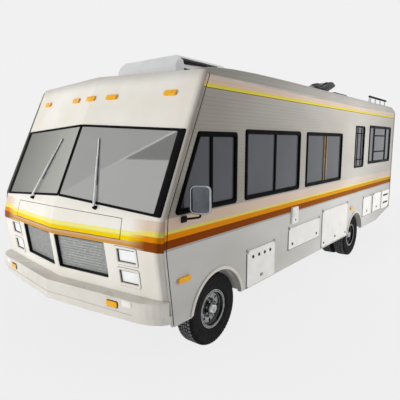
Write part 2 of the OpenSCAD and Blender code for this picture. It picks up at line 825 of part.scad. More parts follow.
// Half of the bumper's front line, from the middle outwards, with its nose at y
function bumper_line(y) = concat([[0, y]], [for (k = [0 : 6])
    let (reach = (bumper_end - bumper_bend) * sin(14 * k))
    [bumper_bend + reach, y + (bumper_bend + reach) * tan(front_sweep) + bumper_wrap * (1 - cos(14 * k))]]);
// The same line moved backwards by t
function line_behind(line, t) = [for (i = [0 : len(line) - 1])
    let (d = unit(line[min(i + 1, len(line) - 1)] - line[max(i - 1, 0)]))
    i == 0 ? line[0] + [0, t] : line[i] + t * [-d[1], d[0]]];
function backwards(v) = [for (i = [len(v) - 1 : -1 : 0]) v[i]];
// Half plan between the line with its nose at y0 and another line
function bumper_half(y0, inner) = concat(bumper_line(y0), backwards(inner));
// Straight part of the half plan between two noses
function bumper_band(y0, y1) = [[0, y0], [bumper_bend, y0 + bumper_bend * tan(front_sweep)],
    [bumper_bend, y1 + bumper_bend * tan(front_sweep)], [0, y1]];

// Horizontal band of the bumper between two heights
module bumper_sheet(z, pts) {
    translate([0, 0, z[0]]) linear_extrude(z[1] - z[0]) union() {
        polygon(pts);
        mirror([1, 0]) polygon(pts);
    }
}

module front_bumper() {
    face = [530, 655];
    lip = [468, 536];
    lip_back = 22;
    nose_y = -front_overhang;
    // Rear edge of the upper flange, just ahead of the cap
    cap_line = [for (x = [0, half_w - 100]) [x, lookup(face[1], NOSE) + x * tan(front_sweep) - 4]];
    line = bumper_line(nose_y);
    flange = concat(cap_line, [[half_w - 40, cap_line[1][1] + 5], line_behind(line, 20)[7]]);
    color("antiquewhite") coach() {
        bumper_sheet(face, bumper_half(nose_y, line_behind(line, bumper_t)));
        bumper_sheet([face[1] - bumper_t, face[1]], bumper_half(nose_y, flange));
        bumper_sheet([face[0], face[0] + bumper_t], bumper_half(nose_y, line_behind(line, 30)));
        bumper_sheet(lip, bumper_half(nose_y + lip_back,
            line_behind(bumper_line(nose_y + lip_back), bumper_t)));
        both_sides() block([rail_x, rail_x + rail_w], [nose_y + 66, nose_y + 100], [rail_z + 4, deck_z]);
    }
}

module rear_bumper() {
    beam_y = [tail_end - 90, tail_end];
    hitch_z = rail_z - receiver_w / 2 - 20;
    color("silver") coach() {
        difference() {
            block([-1050, 1050], beam_y, [rail_z + 4, deck_z - 10]);
            block([-1042, 1042], [beam_y[0] - cut, beam_y[1] - 8], [rail_z + 12, deck_z - 18]);
        }
        both_sides() block([rail_x, rail_x + rail_w], beam_y, [rail_z + 4, deck_z - 10]);
        difference() {
            union() {
                block([-receiver_w / 2, receiver_w / 2], [tail_end - 240, tail_end],
                    [hitch_z - receiver_w / 2, hitch_z + receiver_w / 2]);
                block([-60, 60], [tail_end - 80, tail_end - 10], [hitch_z + receiver_w / 2, rail_z + 20]);
            }
            block([receiver_t - receiver_w / 2, receiver_w / 2 - receiver_t], [0, tail_end + cut],
                [hitch_z - receiver_w / 2 + receiver_t, hitch_z + receiver_w / 2 - receiver_t]);
            translate([-receiver_w, tail_end - 60, hitch_z]) rotate([0, 90, 0])
                cylinder(r = hitch_pin_r, h = 2 * receiver_w);
        }
    }
}

module mirrors() {
    centre = [half_w + 120, -425, 1470];
    size = [182, 48, 240];
    turned = 20;
    elbow = [centre[0], centre[1], 1330];
    foot = [[half_w, half_w + 10], [-530, -460], [1280, 1335]];
    arm_r = 9;
    color("silver") coach() both_sides() {
        translate(centre) rotate([0, 0, turned]) translate([0, size[1] / 2, 0]) rotate([90, 0, 0])
            linear_extrude(size[1]) polygon(rounded(
                rectangle([-size[0] / 2, size[0] / 2, -size[2] / 2, size[2] / 2]), 46));
        block(foot[0], foot[1], foot[2]);
        bar([half_w + 5, (foot[1][0] + foot[1][1]) / 2, (foot[2][0] + foot[2][1]) / 2], elbow, arm_r);
        bar([elbow[0], elbow[1], elbow[2] - 4], centre, arm_r);
    }
}

// Places a piece on the left windscreen pane: across, up the glass, out of the glass
module on_screen() {
    rotate([0, 0, front_sweep]) translate([0, -cowl_y * cos(front_sweep), cowl_z])
        rotate([-atan(cos(front_sweep) * tan(screen_rake)), 0, 0]) children();
}

module wipers() {
    pivot_x = 412;
    arm_l = 680;
    lean = 16;
    color("black") coach() both_sides() on_screen() translate([pivot_x, 0, 20]) {
        rotate([90, 0, 0]) cylinder(r = 16, h = 30);
        rotate([0, -lean, 0]) {
            block([-8, 8], [-27, -17], [-4, arm_l - 220]);
            block([-5, 5], [-22, -10], [arm_l - 460, arm_l]);
        }
    }
}

module roof_air_conditioner() {
    size_x = 460;
    ends = [330, 1300];
    low_z = eave_z;
    top_z = 2855;
    chamfer = 50;
    slot_d = 12;
    color("white") coach() difference() {
        intersection() {
            across(-size_x, size_x) polygon([[ends[0], low_z], [ends[1], low_z], [ends[1], top_z - 60],
                [ends[1] - 60, top_z], [ends[0] + 70, top_z], [ends[0], top_z - 110]]);
            along(0, far) polygon([[-size_x, low_z], [size_x, low_z], [size_x, top_z - chamfer],
                [size_x - chamfer, top_z], [chamfer - size_x, top_z], [-size_x, top_z - chamfer]]);
        }
        body_prism(0, 0, far);
        both_sides() block([size_x - slot_d, size_x + cut], [ends[0] + 150, ends[1] - 60],
            [top_z - 100, top_z - 66]);
    }
}

// Roof vents: front edge, rear edge, height of the frame
PROPPED_VENT = [3000, 3460, 45];
LOW_VENT = [3520, 4040, 100];
vent_x = [640, 1000];
lid_open = 19;
lid_t = 40;
vent_hinge_z = roof_z + 60;

module roof_vents() {
    color("gray") coach() difference() {
        union() {
            difference() {
                block(vent_x, [PROPPED_VENT[0], PROPPED_VENT[1]], [eave_z, roof_z + PROPPED_VENT[2]]);
                block([vent_x[0] + 20, vent_x[1] - 20], [PROPPED_VENT[0] + 20, PROPPED_VENT[1] - 20],
                    [eave_z, roof_z + far]);
            }
            block([vent_x[0] + 30, vent_x[0] + 70], [PROPPED_VENT[0] - 16, PROPPED_VENT[0] + 2],
                [eave_z, vent_hinge_z]);
            block([vent_x[1] - 70, vent_x[1] - 30], [PROPPED_VENT[0] - 16, PROPPED_VENT[0] + 2],
                [eave_z, vent_hinge_z]);
            bar([vent_x[0] + 30, PROPPED_VENT[0] - 8, vent_hinge_z],
                [vent_x[1] - 30, PROPPED_VENT[0] - 8, vent_hinge_z], pin_r + 2);
            across(vent_x[0], vent_x[1]) polygon([[LOW_VENT[0], eave_z], [LOW_VENT[1], eave_z],
                [LOW_VENT[1], roof_z + 70], [LOW_VENT[1] - 60, roof_z + LOW_VENT[2]],
                [LOW_VENT[0] + 60, roof_z + LOW_VENT[2]], [LOW_VENT[0], roof_z + 70]]);
        }
        body_prism(0, 0, far + wheelbase);
    }
}

module roof_vent_lid() {
    length = PROPPED_VENT[1] - PROPPED_VENT[0] + 20;
    color("dimgray") coach() translate([0, PROPPED_VENT[0] - 8, vent_hinge_z]) rotate([lid_open, 0, 0])
        difference() {
            union() {
                block([vent_x[0] - 8, vent_x[1] + 8], [16, length], [-8, lid_t - 8]);
                block([vent_x[0] + 90, vent_x[1] - 90], [0, 20], [-10, 10]);
                bar([vent_x[0] + 90, 0, 0], [vent_x[1] - 90, 0, 0], 10);
            }
            block([vent_x[0] + 2, vent_x[1] - 2], [26, length - 10], [-8 - cut, lid_t - 18]);
            bar([vent_x[0], 0, 0], [vent_x[1], 0, 0], pin_r + 2 + running_gap);
        }
}

module roof_rack() {
    rail_r = 16;
    rack_x = 1100;
    rack_z = 2752;
    cross_z = roof_z + 60;
    post_r = 12;
    post_in = 60;
    rack_y = [wheelbase + 1030, wheelbase + 2130];
    color("black") coach() difference() {
        union() {
            both_sides() {
                bar([rack_x, rack_y[0], rack_z], [rack_x, rack_y[1], rack_z], rail_r);
                for (k = [0 : 3]) {
                    y = rack_y[0] + post_in + k * (rack_y[1] - rack_y[0] - 2 * post_in) / 3;
                    bar([rack_x, y, eave_z + 20], [rack_x, y, rack_z], post_r);
                }
                bar([rack_x, rack_y[0] - 120, eave_z + 20], [rack_x, rack_y[0] + 20, rack_z], post_r);
            }
            for (y = [rack_y[0] + post_in, rack_y[1] - post_in]) {
                bar([-rack_x, y, cross_z], [rack_x, y, cross_z], rail_r);
            }
        }
        body_prism(0, 0, far + wheelbase);
    }
}

module rear_ladder() {
    ladder_x = [-940, -580];
    stand_off = 70;
    color("silver") coach() {
        for (x = ladder_x) {
            bar([x, rear_face + stand_off, floor_z + 60], [x, rear_face + stand_off, roof_z - 40], 14);
            for (z = [760, 1500, 2240]) {
                bar([x, rear_face, z], [x, rear_face + stand_off, z], 12);
            }
        }
        for (k = [0 : 5]) {
            z = 740 + k * 320;
            bar([ladder_x[0], rear_face + stand_off, z], [ladder_x[1], rear_face + stand_off, z], 12);
        }
    }
}

module tail_lamps() {
    color("red") coach() both_sides() along(rear_face, rear_face + 24)
        polygon(rounded(rectangle([1020, 1140, 800, 1060]), 20));
}

module dashboard() {
    dash_y = -430;
    dash_z = [1100, 1330];
    dash_gap = 60;
    color("dimgray") coach() intersection() {
        nose(cap_t);
        across(dash_gap - inner_w, inner_w - dash_gap) polygon([[-front_overhang, dash_z[0]],
            [dash_y - 50, dash_z[0]], [dash_y, dash_z[0] + 60], [dash_y, dash_z[1] - 60],
            [dash_y - 90, dash_z[1]], [-front_overhang, dash_z[1]]]);
    }
}

seat_x = 560;
seat_y = 330;
cushion_z = 1050;
// Seat cushion and back: half width, thickness, corner radius; height of the back and its lean
cushion_w = 250;
cushion_t = 130;
cushion_r = 40;
back_w = 240;
back_t = 140;
back_h = 670;
back_lean = 120;

module seat_pedestals() {
    color("dimgray") coach() both_sides() {
        block([seat_x - 200, seat_x + 200], [seat_y - 180, seat_y + 220], [cab_z, cab_z + 30]);
        translate([seat_x, seat_y, cab_z]) cylinder(r = 120, h = cushion_z - cab_z);
        block([seat_x - 220, seat_x + 220], [seat_y - 200, seat_y + 220], [cushion_z - 20, cushion_z]);
    }
}

module seat_cushions() {
    color("sienna") coach() both_sides() {
        across(seat_x - cushion_w, seat_x + cushion_w) polygon(rounded(rectangle(
            [seat_y - cushion_w, seat_y + cushion_w - 20, cushion_z, cushion_z + cushion_t]), cushion_r));
        back_y = seat_y + cushion_w - back_t;
        back_z = cushion_z + cushion_t + 0.3;
        across(seat_x - back_w, seat_x + back_w) polygon(rounded([[back_y, back_z], [back_y + back_t, back_z],
            [back_y + back_t + back_lean, back_z + back_h], [back_y + back_lean + 10, back_z + back_h]],
            cushion_r));
    }
}

module steering_wheel() {
    hub = [seat_x, -300, 1330];
    color("black") coach() {
        block([seat_x - 50, seat_x + 50], [-430, -412], [1170, 1260]);
        bar([seat_x, -408, 1226], hub, 28);
        translate(hub) rotate([-46, 0, 0]) {
            rotate_extrude() translate([200, 0]) circle(r = 15);
            cylinder(r = 45, h = 24, center = true);
            for (a = [90, 210, 330]) {
                rotate([0, 90, a]) cylinder(r = 11, h = 200);
            }
        }
    }
}

module engine_block() {
    engine = [300, [-350, 450], [tyre_r + 80, cab_z - 60]];
    gearbox = [170, [450, 1100], [350, 590]];
    color("slategray") coach() {
        block([-engine[0], engine[0]], engine[1], engine[2]);
        block([-gearbox[0], gearbox[0]], gearbox[1], gearbox[2]);
        block([-rail_x - rail_w + 8, rail_x + rail_w - 8], [-40, 40], [rail_z + 30, rail_z + 80]);
    }
}

// Leaf spring under one rail: an arched strip with a hanger block at each end
module leaf_spring(y, z, reach) {
    steps = 12;
    thick = 30;
    function rise(k) = z + (rail_z - thick - 4 - z) * pow(2 * k / steps - 1, 2);
    across(rail_mid - 32, rail_mid + 32) polygon(concat(
        [for (k = [0 : steps]) [y - reach + 2 * reach * k / steps, rise(k)]],
        [for (k = [steps : -1 : 0]) [y - reach + 2 * reach * k / steps, rise(k) + thick]]));
    for (end = [y - reach + 10, y + reach - 50]) {
        block([rail_mid - 30, rail_mid + 30], [end, end + 40], [rail_z - thick, rail_z]);
    }
}

kingpin_x = track_half - kingpin_offset;
boss_r = kingpin_r + 16;
boss_h = 100;
yoke_t = 18;
yoke_gap = 0.5;

module front_axle() {
    color("dimgray") coach() {
        difference() {
            union() {
                block([-kingpin_x, kingpin_x], [-30, 30], [tyre_r - 35, tyre_r + 35]);
                both_sides() translate([kingpin_x, 0, tyre_r - boss_h / 2]) cylinder(r = boss_r, h = boss_h);
            }
            both_sides() translate([kingpin_x, 0, 0])
                cylinder(r = kingpin_r + running_gap, h = 2 * tyre_r);
        }
        both_sides() leaf_spring(0, tyre_r + 32, 620);
    }
}

// Steering knuckle at +X: yoke plates round the kingpin, a web and the spindle
module knuckle() {
    web = boss_r + 6;
    color("gray") translate([kingpin_x, 0, tyre_r]) {
        translate([0, 0, -boss_h / 2 - yoke_t]) cylinder(r = kingpin_r, h = boss_h + 2 * yoke_t);
        for (z = [-boss_h / 2 - yoke_gap - yoke_t, boss_h / 2 + yoke_gap]) {
            translate([0, 0, z]) cylinder(r = boss_r, h = yoke_t);
            block([0, web + 14], [-boss_r, boss_r], [z, z + yoke_t]);
        }
        block([web, web + 14], [-boss_r - 6, boss_r + 6],
            [-boss_h / 2 - yoke_gap - yoke_t, boss_h / 2 + yoke_gap + yoke_t]);
        translate([web, 0, 0]) rotate([0, 90, 0]) cylinder(r = spindle_r, h = kingpin_offset + 76 - web);
    }
}

module knuckle_left() {
    coach() knuckle();
}

module knuckle_right() {
    coach() mirror([1, 0, 0]) knuckle();
}

bead_half = 74;
flange_t = 8;
flange_h = 12;

// Rim turned about X with its plane at the origin: barrel, flanges and beads
module rim() {
    rotate([0, 90, 0]) rotate_extrude($fn = 96) polygon([[seat_r - 12, -bead_half - flange_t],
        [seat_r + flange_h, -bead_half - flange_t], [seat_r + flange_h, -bead_half], [seat_r, -bead_half],
        [seat_r, -40], [seat_r - 18, -28], [seat_r - 18, 28], [seat_r, 40], [seat_r, bead_half],
        [seat_r + flange_h, bead_half], [seat_r + flange_h, bead_half + flange_t],
        [seat_r - 12, bead_half + flange_t], [seat_r - 12, 48], [seat_r - 28, 34], [seat_r - 28, -34],
        [seat_r - 12, -48]]);
}

// Dished disc from the hub to the rim, with hand holes
module disc(x, dish) {
    holes = 8;
    difference() {
        rotate([0, 90, 0]) rotate_extrude($fn = 96) polygon([[0, x], [95, x], [seat_r - 24, x + dish],
            [seat_r - 24, x + dish + 10], [92, x + 10], [0, x + 10]]);
        for (k = [0 : holes - 1]) {
            rotate([k * 360 / holes, 0, 0]) translate([x - far / 2, 0, 122])
                rotate([0, 90, 0]) cylinder(r = 16, h = far);
        }
    }
}

// Hub turned about X, with its bore and the wheel nuts on the disc at nut_x
module hub(x0, x1, bore, bore_end, nut_x) {
    difference() {
        union() {
            translate([x0, 0, 0]) rotate([0, 90, 0]) cylinder(r = 62, h = x1 - x0 - 20);
            translate([x1 - 21, 0, 0]) rotate([0, 90, 0]) cylinder(r1 = 52, r2 = 40, h = 21);
            for (k = [0 : 7]) {
                rotate([k * 45 + 22.5, 0, 0]) translate([nut_x, 0, 80]) rotate([0, 90, 0])
                    cylinder(r = 11, h = 34);
            }
        }
        translate([x0 - 1, 0, 0]) rotate([0, 90, 0]) cylinder(r = bore + running_gap, h = bore_end - x0 + 1);
    }
}

module wheel_front() {
    color("silver") translate([track_half, 0, tyre_r]) {
        rim();
        difference() {
            disc(26, 6);
            translate([-far / 2, 0, 0]) rotate([0, 90, 0]) cylinder(r = 61, h = far);
        }
        hub(6, 92, spindle_r, 81, 30);
    }
}

module wheel_rear() {
    color("silver") translate([track_half, wheelbase, tyre_r]) {
        for (x = [0, -twin_gap]) {
            translate([x, 0, 0]) rim();
        }
        difference() {
            union() {
                disc(-70, 30);
                translate([-twin_gap, 0, 0]) mirror([1, 0, 0]) disc(-70, 30);
            }
            translate([-far / 2, 0, 0]) rotate([0, 90, 0]) cylinder(r = 61, h = far);
        }
        hub(-twin_gap - 60, 70, rear_spindle_r, 50, -66);
        translate([-twin_gap + 60, 0, 0]) rotate([0, 90, 0]) difference() {
            cylinder(r = 90, h = twin_gap - 120);
            translate([0, 0, -1]) cylinder(r = 61, h = twin_gap);
        }
    }
}

// Tyre turned about X with its plane at the origin, seated on the rim
module tyre() {
    seat_gap = 0.3;
    half = tyre_w / 2;
    function side(s) = [[seat_r + seat_gap, s * (bead_half - seat_gap)],
        [seat_r + flange_h + 1, s * (bead_half - seat_gap)], [seat_r + 26, s * (half - 8)],
        [(seat_r + tyre_r) / 2 + 6, s * half], [tyre_r - 50, s * half], [tyre_r - 22, s * (half - 4)],
        [tyre_r - 6, s * (half - 14)], [tyre_r, s * (half - 32)]];
    color("black") rotate([0, 90, 0]) rotate_extrude($fn = 96) polygon(concat(side(1),
        [for (k = [7 : -1 : 0]) side(-1)[k]]));
}

module tyre_front() {
    translate([track_half, 0, tyre_r]) tyre();
}

module tyre_rear() {
    for (x = [track_half, track_half - twin_gap]) {
        translate([x, wheelbase, tyre_r]) tyre();
    }
}

module rear_axle() {
    tube_end = track_half - twin_gap - 70;
    color("dimgray") coach() {
        translate([-tube_end, wheelbase, tyre_r]) rotate([0, 90, 0]) cylinder(r = 48, h = 2 * tube_end);
        both_sides() translate([tube_end - 1, wheelbase, tyre_r]) rotate([0, 90, 0])
            cylinder(r = rear_spindle_r, h = twin_gap + 110);
        translate([0, wheelbase, tyre_r]) rotate([0, 90, 0]) rotate_extrude()
            polygon([[0, -170], [70, -170], [135, -100], [150, -40], [150, 40], [135, 100], [70, 170],
                [0, 170]]);
        translate([0, wheelbase - 210, tyre_r + 20]) rotate([-90, 0, 0]) cylinder(r = 60, h = 180);
        both_sides() leaf_spring(wheelbase, tyre_r + 38, 640);
    }
}

module drive_shaft() {
    shaft_y = [1100, wheelbase - 210];
    color("gray") coach() translate([0, shaft_y[0], tyre_r + 20]) rotate([-90, 0, 0]) {
        cylinder(r = 38, h = shaft_y[1] - shaft_y[0]);
        cylinder(r = 52, h = 60);
        translate([0, 0, shaft_y[1] - shaft_y[0] - 60]) cylinder(r = 52, h = 60);
    }
}

module fuel_tank() {
    color("slategray") coach() along(wheelbase + 760, wheelbase + 1780)
        polygon(rounded(rectangle([-rail_x + 20, rail_x - 20, 420, deck_z]), 40));
}

module exhaust() {
    pipe = [-560, rail_z - 30];
    pipe_r = 27;
    pipe_y = [800, rear_face - 140];
    silencer_y = [1500, 2100];
    silencer_r = 85;
    color("saddlebrown") coach() {
        bar([-170, pipe_y[0], pipe[1]], [pipe[0], pipe_y[0], pipe[1]], pipe_r);
        translate([pipe[0], pipe_y[0], pipe[1]]) sphere(r = pipe_r);
        bar([pipe[0], pipe_y[0], pipe[1]], [pipe[0], pipe_y[1], pipe[1]], pipe_r);
        bar([pipe[0], silencer_y[0], pipe[1]], [pipe[0], silencer_y[1], pipe[1]], silencer_r);
        for (y = [silencer_y[0] + 100, silencer_y[1] - 100, wheelbase + 1500]) {
            block([pipe[0] - 15, pipe[0] + 15], [y - 8, y + 8], [pipe[1], deck_z]);
        }
    }
}

frame_rails();
floor_deck();
front_cap();
wall_left();
wall_right();
rear_wall();
roof_panel();
windscreen();
windscreen_gasket();
window_glass();
window_frames();
service_panel();
grille();
headlamps();
marker_lamps();
tail_lamps();
front_bumper();
rear_bumper();
mirrors();
wipers();
roof_air_conditioner();
roof_vents();
roof_vent_lid();
roof_rack();
rear_ladder();
dashboard();
seat_pedestals();
seat_cushions();
steering_wheel();
engine_block();
front_axle();
rear_axle();
drive_shaft();
fuel_tank();
exhaust();
lockers();
stepwell();
arch_liners();
wall_hinges();
side_fittings();
entry_door();
entry_door_glass();
hatch_left(0);  // hatch_left_1
hatch_left(1);  // hatch_left_2
hatch_left(2);  // hatch_left_3
hatch_left(3);  // hatch_left_4
hatch_left(4);  // hatch_left_5
hatch_right(0);  // hatch_right_1
knuckle_left();
knuckle_right();
coach() wheel_front();  // wheel_front_left
coach() mirror([1, 0, 0]) wheel_front();  // wheel_front_right
coach() wheel_rear();  // wheel_rear_left
coach() mirror([1, 0, 0]) wheel_rear();  // wheel_rear_right
coach() tyre_front();  // tyre_front_left
coach() mirror([1, 0, 0]) tyre_front();  // tyre_front_right
coach() tyre_rear();  // tyre_rear_left
coach() mirror([1, 0, 0]) tyre_rear();  // tyre_rear_right
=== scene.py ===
"""Looks of a class A camper truck: finishes for its solids, and the trim, tyres, glazing rubber, grille,
lamps, wipers, mirrors and seats that are worked out as surfaces. Metres, front towards -Y, left side +X."""
import json
import math

import bmesh
import bpy
import numpy as np
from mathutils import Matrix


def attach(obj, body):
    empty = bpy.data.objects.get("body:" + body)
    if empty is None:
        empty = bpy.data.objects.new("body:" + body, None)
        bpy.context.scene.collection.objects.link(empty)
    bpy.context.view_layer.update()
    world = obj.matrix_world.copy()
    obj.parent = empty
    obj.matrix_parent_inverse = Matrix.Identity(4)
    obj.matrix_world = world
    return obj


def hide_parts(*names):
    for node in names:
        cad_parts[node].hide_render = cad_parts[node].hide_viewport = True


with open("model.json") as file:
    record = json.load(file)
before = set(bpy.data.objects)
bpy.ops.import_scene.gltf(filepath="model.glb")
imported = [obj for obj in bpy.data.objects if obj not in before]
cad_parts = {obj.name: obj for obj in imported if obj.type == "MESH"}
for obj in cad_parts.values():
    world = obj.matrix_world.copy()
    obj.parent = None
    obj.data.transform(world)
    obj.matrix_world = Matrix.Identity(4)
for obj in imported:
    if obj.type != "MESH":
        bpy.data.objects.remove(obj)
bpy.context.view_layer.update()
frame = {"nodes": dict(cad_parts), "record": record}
SCENE = bpy.context.scene

# Sizes that repeat the coach's own, in metres; lengthwise places are from the front axle
AXLE_Y = -2.650
WHEELBASE = 3.920
HALF_W = 1.280
EAVE_Z = 2.480
EAVE_R = 0.070
ROOF_Z = 2.575
REAR_FACE = 6.195
REAR_SEAM = 6.110
SWEEP = math.radians(7.4)
RAKE = math.radians(24.4)
COWL_Y = 0.872
COWL_Z = 1.345
NOSE_Z = np.array([0.440, 0.640, 1.085, 1.150, 1.345, 2.700])
NOSE_Y = np.array([-0.839, -0.868, -0.930, -0.925, -0.872, 1.355 * math.tan(RAKE) - 0.872])
SEAM_Z = np.array([0.380, 1.063, 1.357, 2.480, 2.700])
SEAM_Y = np.array([-0.620, -0.706, -0.680, -0.158, -0.062])
TYRE_R = 0.350
TRACK = 1.135
TWIN_GAP = 0.230
# Side windows: front, rear, lower and upper edge, lean of the front edge, places of the upright bars
CAB_WINDOW = (-0.612, 0.283, 1.352, 2.022, 0.306, (0.32,))
FRONT_WINDOW = (0.425, 1.670, 1.356, 2.053, 0.0, (0.5,))
MIDDLE_WINDOW = (1.846, 3.116, 1.360, 2.051, 0.0, (0.5,))
NARROW_WINDOW = (3.710, 4.178, 1.506, 2.182, 0.0, ())
BERTH_WINDOW = (4.447, 5.862, 1.540, 2.210, 0.0, (0.22, 0.76))
REAR_WINDOW = (-0.500, 0.500, 1.500, 2.100, 0.0, ())
DOOR_WINDOW = (0.760, 1.190, 1.400, 2.040, 0.0, ())
WINDOWS_LEFT = (CAB_WINDOW, FRONT_WINDOW, MIDDLE_WINDOW, NARROW_WINDOW, BERTH_WINDOW)
WINDOWS_RIGHT = (CAB_WINDOW, MIDDLE_WINDOW, BERTH_WINDOW)
# Entry door with the room that the siding leaves free: 65 mm at the hinges, 20 mm behind and above
ENTRY_DOOR = (0.595, 1.310, 0.450, 2.250, 0.0)
# Siding courses: height, how far the top of each stands out and how much further its foot does, counted from
# the ground between belt and upper stripe
COURSE = 0.034
COURSE_TOP = 0.0004
COURSE_LEAN = 0.0022
COURSES = range(40, 70)
# Hatches: front, rear, lower and upper edge of the lip
HATCHES = {"hatch_left_1": (0.490, 1.075, 0.426, 0.815), "hatch_left_2": (1.425, 2.358, 0.631, 0.892),
           "hatch_left_3": (2.466, 3.490, 0.440, 0.960), "hatch_left_4": (4.305, 4.765, 0.615, 0.946),
           "hatch_left_5": (4.895, 5.400, 0.617, 0.953), "hatch_right_1": (1.900, 2.900, 0.440, 0.900)}
LIP_T = 0.010
# Outer face of the windscreen's panes over the front
PANE_FACE = 0.0036
# Grille half and the left lamps: inner, outer, lower and upper edge
GRILLE = (0.036, 0.672, 0.757, 1.084)
LAMPS = ((0.802, 1.017, 0.734, 0.872), (0.802, 1.017, 0.925, 1.062))


def linear(hexa):
    """sRGB hex value to linear RGBA."""
    c = np.array([int(hexa[i:i + 2], 16) for i in (1, 3, 5)]) / 255
    return (*np.where(c <= 0.04045, c / 12.92, ((c + 0.055) / 1.055) ** 2.4).tolist(), 1.0)


# The photograph's camera, solved from its edges: 36 mm lens on a 36 mm square frame
eye = bpy.data.objects.new("photo_view", bpy.data.cameras.new("photo_view"))
eye.data.sensor_width = 36
eye.data.lens = 36
eye.location = (3.397, -5.574, 1.943)
eye.rotation_euler = (math.radians(90 - 8.41), 0, math.radians(38.69))
SCENE.collection.objects.link(eye)
SCENE.camera = eye
SCENE.view_settings.view_transform = "Standard"


def add(tree, kind, inputs=None, **settings):
    """Adds one node: settings are its properties, inputs its sockets, each a value or another socket."""
    made = tree.nodes.new(kind)
    for key, value in settings.items():
        setattr(made, key, value)
    for key, value in (inputs or {}).items():
        if isinstance(value, bpy.types.NodeSocket):
            tree.links.new(value, made.inputs[key])
        else:
            made.inputs[key].default_value = value
    return made


def maths(tree, operation, *values):
    """Sum, product or other operation on values."""
    return add(tree, "ShaderNodeMath", dict(enumerate(values)), operation=operation).outputs[0]


def vector(tree, operation, *values, **sockets):
    """Operation on vectors or colours."""
    node = add(tree, "ShaderNodeVectorMath", {**dict(enumerate(values)), **sockets}, operation=operation)
    return node.outputs["Value" if operation in ("LENGTH", "DOT_PRODUCT") else 0]


def spread(tree, value, low, high, first=0.0, last=1.0):
    """Value carried from low..high to first..last, held at the ends."""
    inputs = {"Value": value, "From Min": low, "From Max": high, "To Min": first, "To Max": last}
    return add(tree, "ShaderNodeMapRange", inputs).outputs[0]


def blend(tree, factor, a, b, **settings):
    """Colour a share of the way from a to b."""
    return add(tree, "ShaderNodeMix", {"Factor": factor, 6: a, 7: b}, data_type="RGBA", **settings).outputs[2]


def waves(tree, place, pitch, axis, distortion=0.0, **settings):
    """Waves of a pitch in metres along an axis."""
    inputs = {"Vector": place, "Scale": math.pi / (10 * pitch), "Distortion": distortion}
    return add(tree, "ShaderNodeTexWave", inputs, bands_direction=axis, **settings).outputs["Fac"]


def parts(tree, place):
    """The X, Y and Z of a place."""
    return add(tree, "ShaderNodeSeparateXYZ", {"Vector": place}).outputs


def ramp(tree, value, stops, sharp=False):
    """Colour of a value by (place, hex) stops, in sharp bands or soft."""
    made = add(tree, "ShaderNodeValToRGB", {"Fac": value})
    if sharp:
        made.color_ramp.interpolation = "CONSTANT"
    points = made.color_ramp.elements
    while len(points) < len(stops):
        points.new(0.5)
    for point, (stop, hexa) in zip(points, stops):
        point.position = stop
        point.color = linear(hexa)
    return made.outputs["Color"]


def bare(name):
    """A new material with an empty node tree."""
    made = bpy.data.materials.new(name)
    made.use_nodes = True
    made.node_tree.nodes.clear()
    return made, made.node_tree


def start(name, roughness, **sockets):
    """A new finish: its node tree, its shader with the constant sockets set, and its Object coordinates."""
    made = bpy.data.materials.new(name)
    made.use_nodes = True
    tree = made.node_tree
    shader = tree.nodes["Principled BSDF"]
    shader.inputs["Roughness"].default_value = roughness
    for key, value in sockets.items():
        shader.inputs[key.replace("_", " ")].default_value = value
    return made, tree, shader, add(tree, "ShaderNodeTexCoord").outputs["Object"]


def noise(tree, place, size_mm, detail):
    """Noise of a size over Object coordinates."""
    inputs = {"Vector": place, "Scale": 1000 / size_mm, "Detail": detail}
    return add(tree, "ShaderNodeTexNoise", inputs).outputs["Fac"]


def tones(tree, place, size_mm, dark, light, light_at=0.7):
    """Soft patches of the given size, from dark to light."""
    return ramp(tree, noise(tree, place, size_mm, 3.0), ((0.3, dark), (light_at, light)))


def relief(tree, shader, height, distance, strength, **sockets):
    """Relief of a height on the shader's normal."""
    made = add(tree, "ShaderNodeBump", {"Height": height, "Distance": distance, "Strength": strength,
                                        **sockets})
    tree.links.new(made.outputs[0], shader.inputs["Normal"])
    return made.outputs[0]


def grain(tree, place, shader, size_mm, depth_mm, strength=0.5):
    """Fine relief of the given size and depth: noise over Object coordinates."""
    return relief(tree, shader, noise(tree, place, size_mm, 2.0), depth_mm / 1000, strength)


def plain(name, roughness, size_mm, dark, light, light_at, grain_mm, depth_mm, metallic=0.0, specular=0.5,
          **sockets):
    """A finish of one real material: patchy tone, uneven gloss and fine grain over Object coordinates."""
    made, tree, shader, place = start(name, roughness, Metallic=metallic, Specular_IOR_Level=specular,
                                      **sockets)
    tree.links.new(tones(tree, place, size_mm, dark, light, light_at), shader.inputs["Base Color"])
    gloss = spread(tree, noise(tree, place, 2.5 * size_mm, 2.0), 0.3, 0.7, roughness * 0.8,
                   min(1.0, roughness * 1.25))
    tree.links.new(gloss, shader.inputs["Roughness"])
    grain(tree, place, shader, grain_mm, depth_mm)
    return made


